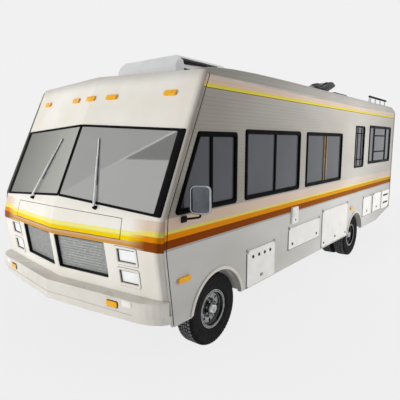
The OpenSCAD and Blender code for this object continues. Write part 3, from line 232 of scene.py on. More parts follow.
# Aluminium siding under gloss enamel, roller striped: beige above the belt, light grey below, and a road film
def siding_enamel():
    """Bands by height over the belt line; painted shade lightens from front to rear and deepens at the tail.
    """
    made, tree, shader, place = start("siding_enamel", 0.50, Specular_IOR_Level=0.04)
    axes = parts(tree, place)
    belt, low_end, high_end = 1.150, -0.15, 1.45
    above = maths(tree, "SUBTRACT", axes["Z"], belt)
    height = spread(tree, above, low_end, high_end)
    # The last band, the eave, is painted shade of the rounded roof edge
    edges = (-0.150, -0.076, -0.061, 0.010, 0.062, 0.087, 0.182, 1.233, 1.243, 1.272, 1.350)
    # Skirt, shadow line, brown, orange, pale, blush, wall, brown line, upper stripe, upper blush, eave
    front = ("#C8C7C3", "#A6A4A0", "#823A00", "#E08800", "#DCCE68", "#D2BBA9", "#9F9B93", "#823A00",
             "#D8CC50", "#D0B8A7", "#98958E")
    rear = ("#DEDDDA", "#C2C0BC", "#A05A06", "#EAA810", "#F6EA88", "#EAD9CD", "#D8D5CE", "#A05A06", "#F4E660",
            "#EED9CC", "#CFCCC6")
    places = [(z - low_end) / (high_end - low_end) for z in edges]
    wear_and_shade, kept = (ramp(tree, height, list(zip(places, hues)), sharp=True) for hues in (front, rear))
    # Painted shade: the bands are darker towards the front and lighter towards the rear
    stripes_and_shade = blend(tree, spread(tree, axes["Y"], -2.6, 1.2), wear_and_shade, kept)
    drawn = add(tree, "ShaderNodeMapping", {"Vector": place, "Scale": (0.3, 0.3, 1.0)}).outputs[0]
    film = tones(tree, drawn, 420, "#F2F0EC", "#FFFFFF")
    # Painted shade at the foot of each course of the siding above the belt
    foot = waves(tree, place, COURSE, "Z", wave_profile="SAW")
    dust_and_shade = spread(tree, foot, 0.0, 0.35, 0.90, 1.0)
    lapping = spread(tree, above, 0.19, 0.21)
    shade = add(tree, "ShaderNodeMix", {"Factor": lapping, 2: 1.0, 3: dust_and_shade}, data_type="FLOAT").outputs[0]
    # Painted shade: darker towards the tail, and darker still on its turned corner
    shade = maths(tree, "MULTIPLY", shade, spread(tree, axes["Y"], 3.340, 3.475, 1.0, 0.56))
    shade = maths(tree, "MULTIPLY", shade, spread(tree, axes["Y"], 0.8, 3.3, 1.0, 0.66))
    shaded = vector(tree, "SCALE", vector(tree, "MULTIPLY", stripes_and_shade, film), Scale=shade)
    tree.links.new(shaded, shader.inputs["Base Color"])
    return made


# Moulded glass-fibre front in gel coat: warm white, glossy, faintly wavy, with the belt stripes run round it
def cap_gelcoat():
    """Bands by height, outside and in the middle; past an edge the fall grows with distance squared."""
    made, tree, shader, place = start("cap_gelcoat", 0.40, Specular_IOR_Level=0.08)
    axes = parts(tree, place)
    aside = maths(tree, "ABSOLUTE", axes["X"])
    # The brown band is cut back in a slant under the gold one on its way to the middle
    slant = spread(tree, aside, 0.94, 1.12, 1.0, 0.0)
    outside = ((1.000, "#EDE9E1"), (1.070, "#8C4200"), (1.147, "#E28A00"), (1.192, "#EDDC68"),
               (1.234, "#E2CCBA"), (1.314, "#EDE8DE"))
    middle = ((1.000, "#F0EDE6"), (1.084, "#CF9848"), (1.110, "#D3A987"), (1.134, "#F4D200"),
              (1.172, "#F3EC88"), (1.212, "#F1EEE6"))
    low_end, high_end = 1.0, 1.4
    height = spread(tree, axes["Z"], low_end, high_end)
    bands = [ramp(tree, height, [((z - low_end) / (high_end - low_end), h) for z, h in stops], sharp=True)
             for stops in (outside, middle)]
    film = tones(tree, place, 420, "#F0ECE4", "#FFFFFF")
    mixed = blend(tree, 0.6, blend(tree, slant, *bands), film, blend_type="MULTIPLY")
    tree.links.new(mixed, shader.inputs["Base Color"])
    wavy = grain(tree, place, shader, 180, 0.9, strength=0.25)
    # The moulding's edges fall away in a soft roll over its last 90 mm at the sides and 110 mm at the top
    falls = []
    for reach, edge, drop in ((aside, 1.190, -5.6), (axes["Z"], 2.455, -3.6)):
        past = maths(tree, "MAXIMUM", maths(tree, "SUBTRACT", reach, edge), 0.0)
        falls.append(maths(tree, "MULTIPLY", maths(tree, "POWER", past, 2.0), drop))
    relief(tree, shader, maths(tree, "ADD", *falls), 1.0, 1.0, Normal=wavy)
    return made


def axle_distance(tree, place):
    """Distance from the nearer axle line: root of the sum of two squares, the height over the axle and the
    place from the middle of the wheelbase, either way, less half the wheelbase."""
    axes = parts(tree, place)
    y = maths(tree, "ABSOLUTE", maths(tree, "SUBTRACT", axes["Y"], AXLE_Y + WHEELBASE / 2))
    y = maths(tree, "SUBTRACT", y, WHEELBASE / 2)
    z = maths(tree, "SUBTRACT", axes["Z"], TYRE_R)
    return vector(tree, "LENGTH", add(tree, "ShaderNodeCombineXYZ", {"X": y, "Y": z}).outputs[0])


# Chromed wheel steel: rolled edges and hub with painted highlights, recesses between them in painted shade
def wheel_plate():
    """Rings of tone by distance from the axle line, in metres, painted highlights and shade, times a dirt."""
    made, tree, shader, place = start("wheel_chrome", 0.20, Metallic=1.0)
    rim = 0.2
    # Bright rings are painted highlights, dark rings painted shade
    rings = ((0.0, "#9A9C9E"), (0.040, "#E8EAEC"), (0.050, "#8C8E90"), (0.066, "#4A4B4C"), (0.074, "#B4B6B8"),
             (0.092, "#66686A"), (0.100, "#B0B2B4"), (0.138, "#9C9EA0"), (0.146, "#5A5B5C"),
             (0.162, "#4E4F50"), (0.168, "#BCBEC0"), (0.176, "#3A3B3C"), (0.184, "#C4C6C8"))
    shine_and_shade_rings = ramp(tree, spread(tree, axle_distance(tree, place), 0.0, rim), [(r / rim, h) for r, h in rings])
    dirt = tones(tree, place, 30, "#B8B6B2", "#FFFFFF")
    tree.links.new(vector(tree, "MULTIPLY", shine_and_shade_rings, dirt), shader.inputs["Base Color"])
    grain(tree, place, shader, 20, 0.1)
    return made


# Tyre rubber: charcoal, with pale road dust on the tops of the tread blocks
def tyre_compound():
    """Dust where the distance from the axle line reaches the tyre's radius."""
    made, tree, shader, place = start("tyre_rubber", 0.80, Specular_IOR_Level=0.15)
    side = tones(tree, place, 45, "#111112", "#1E1E1F", 0.75)
    dust_and_shade = tones(tree, place, 25, "#4C4C4E", "#8A8A8C", 0.75)
    wear_and_shade = spread(tree, axle_distance(tree, place), TYRE_R - 0.0035, TYRE_R - 0.0015)
    tree.links.new(blend(tree, wear_and_shade, side, dust_and_shade), shader.inputs["Base Color"])
    grain(tree, place, shader, 4, 0.3)
    return made


def glass(name, roughness, size_mm, dark, light, strength, **sockets):
    """Tinted glass with a faint waviness."""
    made, tree, shader, place = start(name, roughness, **sockets)
    tree.links.new(tones(tree, place, size_mm, dark, light), shader.inputs["Base Color"])
    grain(tree, place, shader, 900, 0.6, strength=strength)
    return made


# Sealed-beam lens: bright glass before a silvered bowl, with flutes 14 mm apart across it
def lamp_lens():
    """Flutes as waves along X."""
    made, tree, shader, place = start("lamp_lens", 0.22, IOR=1.5)
    tree.links.new(tones(tree, place, 60, "#F6F6F5", "#FFFFFF"), shader.inputs["Base Color"])
    relief(tree, shader, waves(tree, place, 0.014, "X"), 0.002, 0.4)
    return made


# Woven seat tweed: brown and oat yarns 3 mm apart, drawn coarser than the real 1 mm so that they show
def seat_tweed():
    """Warp times weft, as waves along X and Z."""
    made, tree, shader, place = start("seat_tweed", 0.9, Sheen_Weight=0.4, Sheen_Roughness=0.5)
    yarn = 0.003
    weave = maths(tree, "MULTIPLY", *(waves(tree, place, yarn, axis, distortion=1.5) for axis in "XZ"))
    tree.links.new(ramp(tree, weave, ((0.1, "#5A4632"), (0.8, "#A48A66"))), shader.inputs["Base Color"])
    relief(tree, shader, weave, 0.001, 0.5)
    return made


FINISH = {"coach_paint": siding_enamel(), "front_gelcoat": cap_gelcoat(), "wheel_chrome": wheel_plate(),
          "tyre_rubber": tyre_compound(), "lamp_glass": lamp_lens(), "seat_fabric": seat_tweed(),
          # Side glass: grey-blue body tint, sharp reflections, a faint film
          "tinted_glass": glass("tinted_glass", 0.06, 700, "#4A4C52", "#54565B", 0.06, IOR=1.38,
                                Transmission_Weight=0.15),
          # Windscreen: laminated glass with a bright coating that mirrors more than plain glass does
          "screen_glass": glass("screen_glass", 0.03, 900, "#999996", "#9D9D9A", 0.02, IOR=2.0,
                                Transmission_Weight=0.18, Specular_IOR_Level=1.0)}
# Finishes of one material: slot, name, roughness, patch size in mm, dark and light tone, the light one's
# place, grain size and depth in mm, metallic, specular
for slot, *look in (
        # Roof sheet: satin elastomeric white gone pale grey, chalky and slightly mottled
        ("roof_paint", "roof_coating", 0.66, 240, "#B4B1A9", "#C4C1BA", 0.7, 14, 0.4, 0.0, 0.2),
        # Hatch lids: gloss white enamel on sheet, hardly any texture, faint grime
        ("hatch_paint", "hatch_enamel", 0.30, 160, "#EAE7E1", "#F3F1EC", 0.7, 90, 0.3, 0.0, 0.2),
        # Frame: satin black chassis paint with road dust
        ("chassis_paint", "chassis_black", 0.6, 120, "#151514", "#2B2926", 0.75, 9, 0.5),
        # Bumper: cream enamel on pressed steel
        ("bumper_paint", "bumper_enamel", 0.30, 220, "#D2CDC3", "#DFDBD2", 0.7, 120, 0.4, 0.0, 0.2),
        # Turned and rolled bare steel: grey, streaked
        ("bare_steel", "bare_steel", 0.38, 40, "#8C8C8A", "#B4B4B2", 0.7, 3, 0.1, 1.0),
        # Chromed trim: bright with faint haze
        ("bright_trim", "chrome_plate", 0.14, 60, "#8E9194", "#B2B5B8", 0.7, 30, 0.1, 1.0),
        # Ladder tube: satin aluminium
        ("alu_tube", "satin_aluminium", 0.34, 50, "#B9BABB", "#D2D3D4", 0.7, 4, 0.08, 1.0),
        # Wiper steel: pressed, bright, lightly brushed
        ("wiper_steel", "wiper_steel", 0.40, 40, "#D6D7D8", "#F0F0F0", 0.7, 4, 0.08, 0.3),
        # Slide bars: bronze anodised aluminium
        ("bronze_bar", "bronze_anodised", 0.40, 60, "#8A744E", "#B49A6E", 0.7, 6, 0.1, 0.6),
        # Amber lamp lenses: moulded acrylic, clear colour, ribbed by fine optics
        ("amber_lens", "amber_acrylic", 0.16, 14, "#EDA009", "#FBBE22", 0.7, 7, 0.8, 0.0, 0.3),
        # Glazing rubber: matt black with a chalky bloom
        ("black_rubber", "glazing_rubber", 0.62, 70, "#060506", "#100F11", 0.75, 5, 0.25, 0.0, 0.08),
        # Moulded black plastic: fine leather grain
        ("black_plastic", "black_moulding", 0.55, 60, "#0A0A0A", "#161616", 0.75, 2.5, 0.2, 0.0, 0.15),
        # Window frames: black anodised aluminium, soft sheen
        ("window_alloy", "black_anodised", 0.40, 80, "#040404", "#0D0B0A", 0.75, 6, 0.1, 0.0, 0.02),
        # Air conditioner shroud: white ABS, slightly aged
        ("shroud_plastic", "shroud_abs", 0.36, 180, "#D8D8D8", "#E4E4E3", 0.7, 6, 0.12),
        # Smoked acrylic vent lid
        ("smoked_plastic", "smoked_acrylic", 0.22, 90, "#0C0C0E", "#17181A", 0.75, 40, 0.3, 0.0, 0.15),
        # Cab trim: grained dark vinyl
        ("cab_vinyl", "cab_vinyl", 0.55, 40, "#3A332C", "#4A4138", 0.7, 3, 0.35),
        # Floor boards under thin carpet: brown, matt
        ("floor_board", "floor_board", 0.8, 30, "#4A3D30", "#5F5040", 0.7, 4, 0.6),
        # Fuel tank: dull galvanised steel
        ("tank_steel", "galvanised_steel", 0.5, 35, "#6E7274", "#8D9294", 0.7, 12, 0.15, 0.9),
        # Castings: rough iron with old paint
        ("cast_parts", "cast_iron", 0.66, 25, "#2E2D2B", "#454340", 0.7, 4, 0.6, 0.4),
        # Exhaust: heat-browned steel
        ("exhaust_steel", "scaled_exhaust", 0.6, 60, "#54402F", "#7A6450", 0.7, 5, 0.3, 0.7),
        # Mirror glass: silvered
        ("silvering", "mirror_silver", 0.03, 200, "#D5D8DA", "#E0E2E4", 0.7, 300, 0.05, 1.0),
        # Smoked chrome on the mirror backs: darker, soft reflections
        ("smoked_chrome", "smoked_chrome", 0.14, 120, "#4C5056", "#666A70", 0.7, 60, 0.2, 1.0),
        # Pressed bright grille strip
        ("grille_strip", "grille_aluminium", 0.42, 30, "#C9CAC8", "#E2E3E1", 0.7, 5, 0.15, 0.35)):
    FINISH[slot] = plain(*look)
# Red lamp lenses: as the amber ones, with a clear coat
FINISH["red_lens"] = plain("red_acrylic", 0.16, 14, "#8E0E0A", "#B81A12", 0.7, 7, 0.8, Coat_Weight=0.5,
                           Coat_Roughness=0.05)

for part in frame["record"]["subparts"]:
    solid = frame["nodes"][part["node"]]
    solid.data.materials.clear()
    solid.data.materials.append(FINISH[part["material_slot"]])


def at(y):
    """Lengthwise place measured from the front axle, in the shared frame."""
    return y + AXLE_Y


def shell(grid, wrap_rows=False):
    """Points and faces of a closed surface: a grid of rings, its ends capped unless the rows close too."""
    rows, cols = grid.shape[:2]
    i, j = np.meshgrid(np.arange(rows if wrap_rows else rows - 1), np.arange(cols), indexing="ij")
    k, m = (i + 1) % rows, (j + 1) % cols
    faces = np.stack([i * cols + j, i * cols + m, k * cols + m, k * cols + j], -1).reshape(-1, 4).tolist()
    if not wrap_rows:
        faces += [list(range(cols))[::-1], list(range((rows - 1) * cols, rows * cols))]
    return grid.reshape(-1, 3), faces


def joined(shells):
    """Several closed surfaces as one list of points and faces."""
    points, faces, base = [], [], 0
    for p, f in shells:
        points.append(p)
        faces += [[i + base for i in q] for q in f]
        base += len(p)
    return np.concatenate(points), faces


def build(name, shells, finish, body="coach", stands_for=(), smooth=40, bevel=0.0):
    """Makes one piece from closed surfaces, faces outward, and lets it ride on a body."""
    points, faces = joined(shells)
    mesh = bpy.data.meshes.new(name)
    mesh.from_pydata(points.tolist(), [], faces)
    work = bmesh.new()
    work.from_mesh(mesh)
    bmesh.ops.recalc_face_normals(work, faces=work.faces[:])
    work.to_mesh(mesh)
    work.free()
    mesh.polygons.foreach_set("use_smooth", np.ones(len(mesh.polygons), bool))
    mesh.set_sharp_from_angle(angle=math.radians(smooth))
    mesh.materials.append(FINISH[finish])
    piece = bpy.data.objects.new(name, mesh)
    SCENE.collection.objects.link(piece)
    if bevel:
        edge = piece.modifiers.new("edge", "BEVEL")
        edge.width = bevel
        edge.segments = 2
        edge.limit_method = "ANGLE"
    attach(piece, body)
    if stands_for:
        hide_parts(*stands_for)
    return piece


def mirrored(shells):
    """The same surfaces on the other side of the coach: x turned round."""
    return [(p * (-1, 1, 1), f) for p, f in shells]


def pair(name, shells, finish, **settings):
    """One piece with the same surfaces on both sides of the coach."""
    build(name, shells + mirrored(shells), finish, **settings)


def rounded(corners, r, steps=6):
    """Outline with each corner turned into an arc of the circle of radius r that touches both edges."""
    c = np.asarray(corners, float)
    u = np.roll(c, 1, 0) - c
    v = np.roll(c, -1, 0) - c
    u /= np.linalg.norm(u, axis=1)[:, None]
    v /= np.linalg.norm(v, axis=1)[:, None]
    half = np.arccos(np.clip((u * v).sum(1), -1, 1)) / 2
    mid = (u + v) / np.linalg.norm(u + v, axis=1)[:, None]
    centre = c + mid * (r / np.sin(half))[:, None]
    a = c + u * (r / np.tan(half))[:, None] - centre
    b = c + v * (r / np.tan(half))[:, None] - centre
    turn = (math.pi - 2 * half)[:, None, None]
    k = np.linspace(0, 1, steps + 1)[None, :, None]
    arc = (a[:, None] * np.sin(turn * (1 - k)) + b[:, None] * np.sin(turn * k)) / np.sin(turn)
    return (centre[:, None] + arc).reshape(-1, 2)


def grown(line, d):
    """Closed outline moved outwards by d along the mean normal of its two edges at each point."""
    e = np.roll(line, -1, 0) - line
    e /= np.linalg.norm(e, axis=1)[:, None]
    n = np.stack([e[:, 1], -e[:, 0]], 1)
    before = np.roll(n, 1, 0)
    return line + (n + before) * (d / (1 + (n * before).sum(1)))[:, None]


def box_line(u0, u1, v0, v1, r, steps=6):
    """Rounded rectangle."""
    return rounded([(u0, v0), (u1, v0), (u1, v1), (u0, v1)], r, steps)


def window_corners(w):
    """The four corners of a window, its front edge leaning."""
    y0, y1 = at(w[0]), at(w[1])
    return np.array([(y0, w[2]), (y1, w[2]), (y1, w[3]), (y0 + w[4], w[3])])


def circle(u, v, r):
    """Round outline of 24 points."""
    a = np.arange(24) * 2 * math.pi / 24
    return np.stack([u + r * np.cos(a), v + r * np.sin(a)], 1)


def plane(origin, across, up, out):
    """Place function of a flat surface: u, v and h are steps across, up and out from its origin."""
    axes = np.array([across, up, out], float)
    return lambda u, v, h: origin + np.stack(np.broadcast_arrays(u, v, h), -1) @ axes


X, Y, Z = np.eye(3)
# Left wall and the outside of a hatch lid: lengthwise, up, out. Rear wall: sideways, up, out. Top: sideways,
# lengthwise, height
on_left = plane(HALF_W * X, Y, Z, X)
on_lid = plane((HALF_W + LIP_T) * X, Y, Z, X)
on_rear = plane(at(REAR_FACE) * Y, X, Z, Y)
on_top = plane(0 * X, X, Y, Z)
# Left windscreen pane: across, up from the cowl fold, out of the glass
SCREEN_X = math.cos(SWEEP) * X + math.sin(SWEEP) * Y
SCREEN_Y = math.cos(SWEEP) * Y - math.sin(SWEEP) * X
TILT = math.atan(math.cos(SWEEP) * math.tan(RAKE))
on_screen = plane(SCREEN_Y * (-COWL_Y * math.cos(SWEEP)) + COWL_Z * Z + AXLE_Y * Y, SCREEN_X,
                  math.sin(TILT) * SCREEN_Y + math.cos(TILT) * Z,
                  math.sin(TILT) * Z - math.cos(TILT) * SCREEN_Y)
# Bumper's straight face on the left: sideways, up, out
on_bumper = plane(at(-1.0) * Y, X + math.tan(SWEEP) * Y, Z, math.sin(SWEEP) * X - math.cos(SWEEP) * Y)
# Mirror head: across, up, forwards out of its back
MIRROR_TURN = math.radians(20)
on_mirror = plane((1.400, at(-0.425), 1.470), math.cos(MIRROR_TURN) * X + math.sin(MIRROR_TURN) * Y, Z,
                  math.sin(MIRROR_TURN) * X - math.cos(MIRROR_TURN) * Y)
# Propped vent lid: sideways, back from the hinge, out
LID_OPEN = math.radians(19)
on_vent_lid = plane((0, at(2.992), 2.635), X, math.cos(LID_OPEN) * Y + math.sin(LID_OPEN) * Z,
                    math.cos(LID_OPEN) * Z - math.sin(LID_OPEN) * Y)


def on_front(u, v, h):
    """Sideways, up, out of the swept front: nose profile over height plus the sweep over the place aside."""
    u, v, h = np.broadcast_arrays(u, v, h)
    slope = np.interp(v, (NOSE_Z[1:] + NOSE_Z[:-1]) / 2, np.diff(NOSE_Y) / np.diff(NOSE_Z))
    n = np.stack([np.tan(SWEEP) * np.sign(u), -np.ones_like(v), slope], -1)
    n /= np.linalg.norm(n, axis=-1)[..., None]
    y = at(np.interp(v, NOSE_Z, NOSE_Y)) + np.abs(u) * math.tan(SWEEP)
    return np.stack([u, y, v], -1) + n * h[..., None]


def moulding(line, profile, place):
    """Closed ring: each profile point (d, h) is the outline moved outwards by d and out of the plane by h."""
    rows = [place(*grown(line, d).T, h) if d else place(*line.T, h) for d, h in profile]
    return shell(np.stack(rows), wrap_rows=True)


def between(inner, outer, profile, place):
    """Closed ring between two outlines: a profile point (t, h) lies t of the way from one to the other."""
    t = np.array([p[0] for p in profile])[:, None, None]
    flat = inner + t * (outer - inner)
    return shell(place(flat[..., 0], flat[..., 1], np.array([p[1] for p in profile])[:, None]),
                 wrap_rows=True)


def raised(line, steps, place):
    """Closed pad: the outline moved outwards by d at height h for each step, capped at both ends."""
    return shell(np.stack([place(*(grown(line, d) if d else line).T, h) for d, h in steps]))


def tube(path, radius, sides=12):
    """Round bar: a circle carried along a path, square to its direction, capped at both ends."""
    path = np.asarray(path, float)
    run = np.gradient(path, axis=0)
    run /= np.linalg.norm(run, axis=1)[:, None]
    ref = np.eye(3)[np.argmin(np.abs(run).max(0))]
    a = np.cross(run, ref)
    a /= np.linalg.norm(a, axis=1)[:, None]
    b = np.cross(run, a)
    turn = np.arange(sides) * 2 * math.pi / sides
    r = np.broadcast_to(np.asarray(radius, float), len(path))[:, None, None]
    ring = a[:, None] * np.cos(turn)[:, None] + b[:, None] * np.sin(turn)[:, None]
    return shell(path[:, None] + r * ring)


def strip(path, normal, profile):
    """Profile (s, n) carried along a path on a surface: s across the path in the surface, n out of it."""
    run = np.gradient(path, axis=0)
    run /= np.linalg.norm(run, axis=1)[:, None]
    side = np.cross(run, normal)
    side /= np.linalg.norm(side, axis=1)[:, None]
    p = np.asarray(profile)
    return shell(path[:, None] + side[:, None] * p[None, :, :1] + normal[:, None] * p[None, :, 1:])


def half_round(width, height):
    """Half-round section standing on its surface, sunk a little."""
    a = np.linspace(0, math.pi, 7)
    return np.concatenate([[(width / 2, -0.001)], np.stack([np.cos(a) * width / 2, np.sin(a) * height], 1),
                           [(-width / 2, -0.001)]])


def blocks(low, high):
    """Boxes given by arrays of low and high corners."""
    low, high = np.atleast_2d(low).astype(float), np.atleast_2d(high).astype(float)
    pick = np.array([[0, 0, 0], [1, 0, 0], [1, 1, 0], [0, 1, 0], [0, 0, 1], [1, 0, 1], [1, 1, 1], [0, 1, 1]])
    points = low[:, None] + (high - low)[:, None] * pick
    quads = np.array([[0, 3, 2, 1], [4, 5, 6, 7], [0, 1, 5, 4], [1, 2, 6, 5], [2, 3, 7, 6], [3, 0, 4, 7]])
    faces = (quads[None] + 8 * np.arange(len(low))[:, None, None]).reshape(-1, 4)
    return points.reshape(-1, 3), faces.tolist()


def placed(shape, place):
    """A shape whose points are (u, v, h), put on a surface."""
    p, f = shape
    return place(p[:, 0], p[:, 1], p[:, 2]), f


# Section of a tyre in millimetres: across, radius, share of the lug cut
TYRE_SIDE = ((73.7, 175.3, 0), (73.7, 188, 0), (80, 195, 0), (87, 201, 0), (89, 207, 0), (88, 210, 0),
             (91, 216, 0), (93.5, 232, 0), (95, 250, 0), (95, 264, 0), (94, 266, 0), (94, 271, 0),
             (95, 273, 0), (95, 300, 0), (93.6, 318, 0), (91, 328, 1), (86, 337, 1), (81, 344, 1),
             (72, 348, 1), (63, 350, 1), (47, 350, 1), (45.5, 341, 0), (38.5, 341, 0), (37, 350, 0.6),
             (20, 350, 0.6), (18.5, 341, 0), (11.5, 341, 0), (10, 350, 0.6))
# Lugs round a tyre; one lug's turn as shares of its pitch, and the share of the cut there; its depth in mm
LUGS = 56
LUG_TURN = np.array([0.0, 0.05, 0.29, 0.34, 0.67])
LUG_CUT = np.array([0.0, 1.0, 1.0, 0.0, 0.0])
LUG_DEPTH = 9


def tyre(x, y):
    """Tyre about the axle line at (x, y): the radius is the section's less lug depth x lug share x lug cut
    over the turn; the lugs slant because each row is turned by a zigzag of its place across."""
    right = np.array(TYRE_SIDE)
    row = np.concatenate([right * (-1, 1, 1), right[::-1]])
    turn = ((np.arange(LUGS)[:, None] + LUG_TURN) / LUGS).ravel() * 2 * math.pi
    cut = np.tile(LUG_CUT, LUGS)
    across, radius, share = row.T
    zigzag = 0.5 * np.abs((across / 30) % 2 - 1) * 2 * math.pi / LUGS
    angle = turn[None, :] + zigzag[:, None]
    r = (radius[:, None] - LUG_DEPTH * share[:, None] * cut[None, :]) / 1000
    points = np.stack([np.broadcast_to(x + across[:, None] / 1000, r.shape), y + r * np.cos(angle),
                       TYRE_R + r * np.sin(angle)], -1)
    return shell(points, wrap_rows=True)


for side, s in (("left", 1), ("right", -1)):
    build("road_tyre_front_" + side, [tyre(s * TRACK, at(0))], "tyre_rubber", "front_wheel_" + side,
          ["tyre_front_" + side], smooth=30)
    build("road_tyres_rear_" + side,
          [tyre(s * TRACK, at(WHEELBASE)), tyre(s * (TRACK - TWIN_GAP), at(WHEELBASE))], "tyre_rubber",
          "rear_wheels_" + side, ["tyre_rear_" + side], smooth=30)

# Section of a window surround: share of the way from its inner to its outer edge, height over the wall
FRAME_SECTION = ((0.0, -0.008), (0.0, 0.006), (0.1, 0.011), (0.5, 0.014), (0.85, 0.011), (1.0, 0.004),
                 (1.0, 0.0), (0.64, 0.0), (0.62, -0.008))


def surround(w, lift=0.0):
    """One window's ring on a wall."""
    corners = window_corners(w)
    section = tuple((t, h + lift) for t, h in FRAME_SECTION)
    width = 0.024 if w is NARROW_WINDOW else 0.044
    inside, outside = rounded(grown(corners, -width), 0.022), rounded(grown(corners, 0.002), 0.034)
    return between(inside, outside, section, on_left)


def upright(w, share, half=0.015):
    """Upright bar of a window, a share of the way along its glass."""
    y = at(w[0] + w[4] + share * (w[1] - w[0] - w[4]))
    return placed(blocks((y - half, w[2] + 0.036, -0.008), (y + half, w[3] - 0.036, 0.005)), on_left)


def inner_bars():
    """Flyscreen bars in the two rear windows: uprights and level bars."""
    lows, highs = [], []
    y0, y1, z0, z1 = at(NARROW_WINDOW[0]), at(NARROW_WINDOW[1]), NARROW_WINDOW[2], NARROW_WINDOW[3]
    for y in (y0 + 0.14, y1 - 0.14):
        lows.append((y - 0.008, z0 + 0.036, -0.008))
        highs.append((y + 0.008, z1 - 0.036, -0.001))
    for z in (z0 + 0.13, z1 - 0.12):
        lows.append((y0 + 0.036, z - 0.007, -0.008))
        highs.append((y1 - 0.036, z + 0.007, -0.001))
    y0, y1, z0, z1 = at(BERTH_WINDOW[0]), at(BERTH_WINDOW[1]), BERTH_WINDOW[2], BERTH_WINDOW[3]
    inside = [y0 + b * (y1 - y0) for b in BERTH_WINDOW[5]]
    for z in (z0 + 0.208, z1 - 0.174):
        lows.append((inside[0], z - 0.012, -0.008))
        highs.append((inside[1], z + 0.012, -0.001))
    return placed(blocks(lows, highs), on_left)


rings = [surround(w) for w in WINDOWS_LEFT] + [inner_bars()] + mirrored([surround(w) for w in WINDOWS_RIGHT])
bars = [upright(w, b) for w in WINDOWS_LEFT if w is not MIDDLE_WINDOW for b in w[5]]
bars += mirrored([upright(w, b) for w in WINDOWS_RIGHT if w is not MIDDLE_WINDOW for b in w[5]])
rear_edges = np.array(REAR_WINDOW[:4])
rear_inner = rear_edges + 0.052 * np.array([1, -1, 1, -1])
rings.append(between(box_line(*rear_inner, 0.026), box_line(*rear_edges, 0.032), FRAME_SECTION, on_rear))
build("window_surrounds", rings + bars, "window_alloy", stands_for=["window_frames"], smooth=50)
slides = [upright(MIDDLE_WINDOW, 0.468, 0.009), upright(MIDDLE_WINDOW, 0.532, 0.012)]
pair("window_slide_bars", slides, "bronze_bar", bevel=0.002)
build("door_window_ring", mirrored([surround(DOOR_WINDOW, lift=0.0085)]), "window_alloy", "entry_door",
      smooth=50)

# Windscreen rubber: narrow above and below, wide on the outer uprights, meeting at the middle post; the panes
# are bonded over the opening's edge
inner = np.array([(0.016, 1.449), (1.155, 1.367), (1.155, 2.022), (0.016, 2.079)])
outer = rounded([(0.0006, 1.428), (1.234, 1.341), (1.234, 2.042), (0.0006, 2.103)], 0.016)
SCREEN_SECTION = ((0.0, 0.0042), (0.08, 0.009), (0.3, 0.012), (0.6, 0.012), (0.9, 0.008), (1.0, 0.002),
                  (1.0, 0.0005), (0.3, 0.0005), (0.0, 0.0040))
pane = [between(rounded(inner, 0.010), outer, SCREEN_SECTION, on_front)]
pair("windscreen_rubber", pane, "black_rubber", stands_for=["windscreen_gasket"], smooth=50)
glazed = [raised(rounded(grown(inner, 0.004), 0.012), ((0, 0.0006), (0, PANE_FACE)), on_front)]
pair("windscreen_panes", glazed, "screen_glass", stands_for=["windscreen"], smooth=30)

# Grille half: a box with fins across and up before a back plate
box = box_line(*GRILLE, 0.015)
BOX_SECTION = ((-0.001, -0.004), (-0.001, -0.095), (-0.008, -0.095), (-0.008, -0.004))
tunnel = [moulding(box, BOX_SECTION, on_front)]
pair("grille_box", tunnel, "black_plastic", stands_for=["grille"], smooth=30)
fins_x = np.arange(GRILLE[0] + 0.018, GRILLE[1] - 0.012, 0.0155)
fins_z = np.arange(GRILLE[2] + 0.018, GRILLE[3] - 0.012, 0.0270)
low = [(x - 0.0022, GRILLE[2] + 0.009, -0.058) for x in fins_x]
high = [(x + 0.0022, GRILLE[3] - 0.009, -0.034) for x in fins_x]
low += [(GRILLE[0] + 0.009, z - 0.0022, -0.057) for z in fins_z]
high += [(GRILLE[1] - 0.009, z + 0.0022, -0.036) for z in fins_z]
fins = [placed(blocks(low, high), on_front),
        raised(grown(box, -0.0085), ((0, -0.066), (0, -0.059)), on_front)]
pair("grille_fins", fins, "grille_strip", smooth=30)

bezels, gaps = [], []
for lamp in LAMPS:
    line = box_line(*lamp, 0.009)
    bezels.append(moulding(line, ((0.014, 0.0005), (0.012, 0.006), (0.004, 0.007), (-0.008, 0.004),
                                  (-0.012, -0.013), (-0.0015, -0.013), (-0.0015, 0.0005)), on_front))
    gaps.append(moulding(line, ((0.0145, 0.0004), (0.0145, 0.0016), (0.0162, 0.0016), (0.0162, 0.0004)),
                         on_front))
    gaps.append(moulding(line, ((-0.0125, -0.013), (-0.0125, -0.006), (-0.0170, -0.006), (-0.0170, -0.013)),
                         on_front))
pair("lamp_bezels", bezels, "front_gelcoat", smooth=50)
pair("lamp_seals", gaps, "black_rubber", smooth=30)


def dense(line, count):
    """The same closed outline in evenly spaced points, so that it can follow a folded surface."""
    loop = np.concatenate([line, line[:1]])
    way = np.concatenate([[0], np.cumsum(np.linalg.norm(np.diff(loop, axis=0), axis=1))])
    at_way = np.unique(np.concatenate([np.linspace(0, way[-1], count, endpoint=False), way[:-1]]))
    return np.stack([np.interp(at_way, way, loop[:, 0]), np.interp(at_way, way, loop[:, 1])], 1)


PANEL = np.array([(-0.855, 1.137), (0.0, 1.137), (0.855, 1.137), (0.851, 1.150), (0.840, 1.302), (0.0, 1.328),
                  (-0.840, 1.302), (-0.851, 1.150)])
seal = moulding(dense(PANEL, 220), ((0.0002, -0.012), (0.0046, -0.012), (0.0046, 0.0006), (0.0002, 0.0006)),
                on_front)
build("service_panel_seal", [seal], "black_rubber", smooth=30)

# Wipers on each pane: pivot, lean towards the middle, arm's length, blade's ends
PIVOT = np.array([0.412, 0.020])
LEAN = math.radians(16)
ARM = 0.460
BLADE = (0.220, 0.680)


def along_wiper(way, h):
    """Points on the wiper's line: way from the pivot, height over the glass."""
    return on_screen(PIVOT[0] - way * math.sin(LEAN), PIVOT[1] + way * math.cos(LEAN), h)


